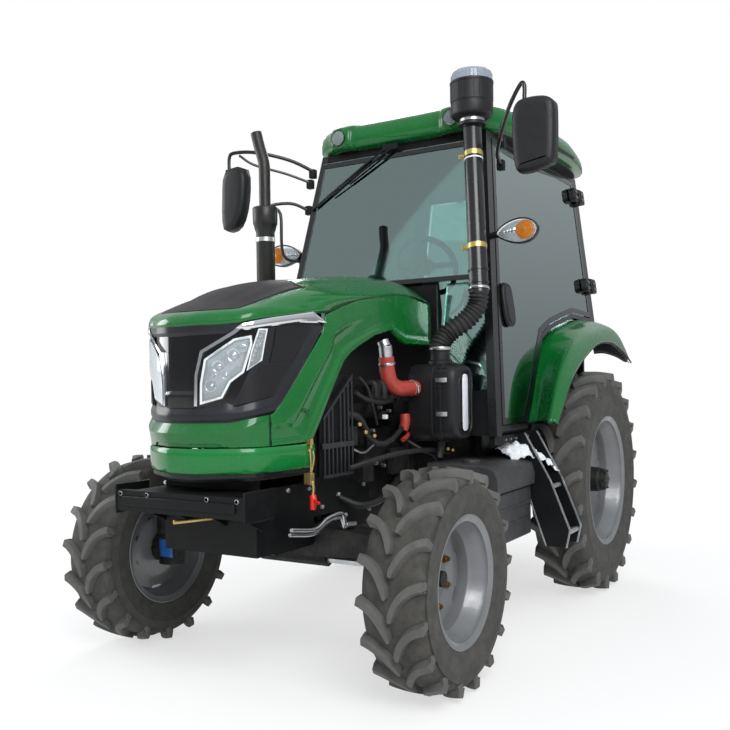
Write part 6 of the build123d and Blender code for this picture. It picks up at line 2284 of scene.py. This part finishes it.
    def disc_form(self) -> Form:
        """The disc: flat at the hub, bent out to the barrel, with its rim end cut back in scallops.

        Returns:
            The disc as a form.
        """
        centre = at(self.track, self.station, self.radius)
        reach = self.bead - 0.036
        sides = 96
        rows = []
        for share, out in ((0.26, 0.0), (0.62, 0.0), (0.70, 0.006), (0.82, 0.020), (0.93, 0.024)):
            rows.append([
                centre + Vector((self.disc + out, reach * share * math.cos(t), reach * share * math.sin(t)))
                for t in turns(sides)
            ])
        lobes = 8 if self.end is End.REAR else 6
        edge = []
        for t in turns(sides):
            r = reach * (1.0 if math.cos(lobes * t) > -0.55 else (0.93 if self.end is End.FRONT else 0.90))
            edge.append(centre + Vector((self.disc + 0.026, r * math.cos(t), r * math.sin(t))))
        rows.append(edge)
        back = [[p - Vector((0.008, 0, 0)) for p in row] for row in rows]
        return Form().grid(rows + back[::-1], ring=True, loop=True)

    def nut_form(self) -> Form:
        """The wheel nuts on their studs and washers.

        Returns:
            The nuts as a form.
        """
        centre = at(self.track, self.station, self.radius)
        form = Form()
        for i in range(self.nuts):
            t = 2 * math.pi * (i + 0.5) / self.nuts
            spot = centre + Vector((self.disc, self.nut_circle * math.cos(t), self.nut_circle * math.sin(t)))
            form.lathe(spot, (1, 0, 0), [(0, 0.020), (0.004, 0.020)], 20)
            form.lathe(spot, (1, 0, 0), [(0.004, 0.0155), (0.020, 0.0155)], 6)
            form.lathe(spot, (1, 0, 0), [(0.018, 0.008), (0.030, 0.008)], 12)
        return form


@dataclass(frozen=True)
class Stage:
    """The pale floor, the soft lamps and the camera. Angles are in degrees, lengths in metres, power in watts."""

    azimuth: float = 31.36
    elevation: float = -0.56
    roll: float = -0.84
    sensor_mm: float = 36.0
    lens_mm: float = 42.8834
    shift: tuple[float, float] = (0.0130, 0.0328)
    eye: Point = (2.42638, -5.38657, 1.30545)
    floor_reach: float = 60.0
    softbox: float = 4.0
    lamps: Sequence[tuple[str, Point, float]] = (
        ("key_softbox", (4.5, -6.0, 5.5), 440), ("fill_softbox", (-7.0, -3.2, 3.4), 240),
        ("back_softbox", (-3.2, 5.8, 5.2), 260),
    )

    def floor(self) -> None:
        """A wide pale floor."""
        made = bpy.data.objects.new("floor", bpy.data.meshes.new("floor"))
        reach = self.floor_reach
        made.data.from_pydata([
            (-reach, -reach, -0.001), (reach, -reach, -0.001), (reach, reach, -0.001), (-reach, reach, -0.001),
        ], [], [(0, 1, 2, 3)])
        bpy.context.scene.collection.objects.link(made)
        material, tree = blank("pale_floor")
        rays = add_node(tree, "ShaderNodeLightPath")
        seen = add_node(
            tree, "ShaderNodeMath", {0: rays.outputs["Is Camera Ray"], 1: rays.outputs["Is Glossy Ray"]},
            operation="MAXIMUM",
        )
        lit = add_node(tree, "ShaderNodeBsdfDiffuse", {"Color": (0.86, 0.86, 0.86, 1)})
        glow = add_node(tree, "ShaderNodeEmission", {"Color": (1, 1, 1, 1), "Strength": 1.0})
        place = add_node(tree, "ShaderNodeTexCoord").outputs["Object"]
        far = add_node(tree, "ShaderNodeVectorMath", {0: place}, operation="LENGTH").outputs["Value"]
        fade = add_node(
            tree, "ShaderNodeMapRange", {"Value": far, 1: 2.5, 2: 8.0, 3: 0.62, 4: 1.0},
            interpolation_type="SMOOTHSTEP",
        ).outputs["Result"]
        share = add_node(tree, "ShaderNodeMath", {0: seen.outputs[0], 1: fade}, operation="MULTIPLY")
        mixed = add_node(tree, "ShaderNodeMixShader", {0: share.outputs[0], 1: lit.outputs[0], 2: glow.outputs[0]})
        add_node(tree, "ShaderNodeOutputMaterial", {"Surface": mixed.outputs[0]})
        made.data.materials.append(material)

    def lamp(self, name: str, place: Point, power: float) -> None:
        """A square soft lamp aimed at the middle of the tractor.

        Args:
            name: The lamp's name.
            place: Where it hangs.
            power: Its power in watts.
        """
        light = bpy.data.lights.new(name, "AREA")
        light.energy, light.size = power, self.softbox
        made = bpy.data.objects.new(name, light)
        made.location = place
        aim = at(0, -1.0, 1.2) - made.location
        made.rotation_mode = "QUATERNION"
        made.rotation_quaternion = aim.to_track_quat("-Z", "Y")
        bpy.context.scene.collection.objects.link(made)

    def world(self) -> None:
        """An even sky: white where it is seen or refracted, softer where it lights or is mirrored."""
        world = bpy.data.worlds.new("soft_studio")
        bpy.context.scene.world = world
        world.use_nodes = True
        tree = world.node_tree
        tree.nodes.clear()
        rays = add_node(tree, "ShaderNodeLightPath")
        seen = add_node(
            tree, "ShaderNodeMath", {0: rays.outputs["Is Camera Ray"], 1: rays.outputs["Is Transmission Ray"]},
            operation="MAXIMUM",
        )
        ray = add_node(tree, "ShaderNodeTexCoord").outputs["Generated"]
        height = add_node(tree, "ShaderNodeSeparateXYZ", {0: ray}).outputs["Z"]
        level = add_node(tree, "ShaderNodeMapRange", {
            "Value": height, 1: 0.02, 2: 0.45, 3: 0.30, 4: 0.80,
        }).outputs["Result"]
        plain = add_node(tree, "ShaderNodeBackground", {"Color": (0.93, 0.96, 1.0, 1), "Strength": level})
        white = add_node(tree, "ShaderNodeBackground", {"Color": (1, 1, 1, 1), "Strength": 1.0})
        mixed = add_node(tree, "ShaderNodeMixShader", {
            0: seen.outputs[0], 1: plain.outputs[0], 2: white.outputs[0],
        })
        add_node(tree, "ShaderNodeOutputWorld", {"Surface": mixed.outputs[0]})

    def camera(self) -> None:
        """A camera low at the front left, turned a little, as a long lens sees it."""
        azimuth, elevation, roll = (math.radians(a) for a in (self.azimuth, self.elevation, self.roll))
        ahead = Vector((
            -math.sin(azimuth) * math.cos(elevation), math.cos(azimuth) * math.cos(elevation), math.sin(elevation),
        ))
        right = ahead.cross(Vector((0, 0, 1))).normalized()
        up = right.cross(ahead)
        turned = right * math.cos(roll) + up * math.sin(roll)
        raised = up * math.cos(roll) - right * math.sin(roll)
        data = bpy.data.cameras.new("camera")
        data.sensor_width, data.lens = self.sensor_mm, self.lens_mm
        data.shift_x, data.shift_y = self.shift
        made = bpy.data.objects.new("camera", data)
        made.matrix_world = Matrix((
            (turned.x, raised.x, -ahead.x, 0), (turned.y, raised.y, -ahead.y, 0), (turned.z, raised.z, -ahead.z, 0),
            (0, 0, 0, 1),
        ))
        made.location = at(*self.eye)
        bpy.context.scene.collection.objects.link(made)
        bpy.context.scene.camera = made

    def build(self) -> None:
        """Sets the whole stage."""
        self.camera()
        self.floor()
        self.world()
        for name, place, power in self.lamps:
            self.lamp(name, at(*place), power)
        bpy.context.scene.view_settings.view_transform = "Standard"


def main() -> None:
    """Dresses the tractor, piece by piece."""
    Stage().build()
    Bonnet().build()
    Mask().build()
    NoseCover().build()
    CabRoof().build()
    IntakeStack().build()
    AirBox().build()
    CabTrim().build()
    ExhaustStack().build()
    Fender().build()
    TankAndSteps().build()
    EngineBay().build()
    Latch().build()
    Seat().build()
    dress([
        "front_frame", "weight_carrier", "cab_floor", "radiator", "hitch", "lift_arms", "lift_rod_left",
        "lift_rod_right", "lower_link_left", "lower_link_right", "top_link", "door_hinges",
    ], BLACK_POWDER)
    dress(["engine", "transmission", "rear_axle", "front_axle", "knuckle_left", "knuckle_right"], BLACK_CASTING)
    dress(["cab_frame"], BLACK_SATIN)
    dress(["dashboard", "steering_wheel", "seat_base"], BLACK_ABS)
    dress(["front_glass"], CAB_GLASS)
    dress(["door_glass_left", "door_glass_right", "rear_window"], DOOR_GLASS)
    dress(["steering_rod"], BRIGHT_ZINC)
    FieldWheel(
        End.FRONT, radius=0.469, width=0.288, station=-2.1, lugs=17, lug_height=0.030, lug_width=0.034,
        lug_run=0.150, bulge=0.372, flange=0.278, bead=0.254, disc=-0.046, nuts=8, nut_circle=0.145,
    ).build()
    FieldWheel(
        End.REAR, radius=0.670, width=0.310, station=0.0, lugs=20, lug_height=0.036, lug_width=0.042, lug_run=0.200,
        bulge=0.545, flange=0.395, bead=0.372, disc=-0.033, nuts=8, nut_circle=0.150,
    ).build()


if __name__ == "__main__":
    logging.basicConfig(level=logging.INFO, format="%(message)s")
    main()
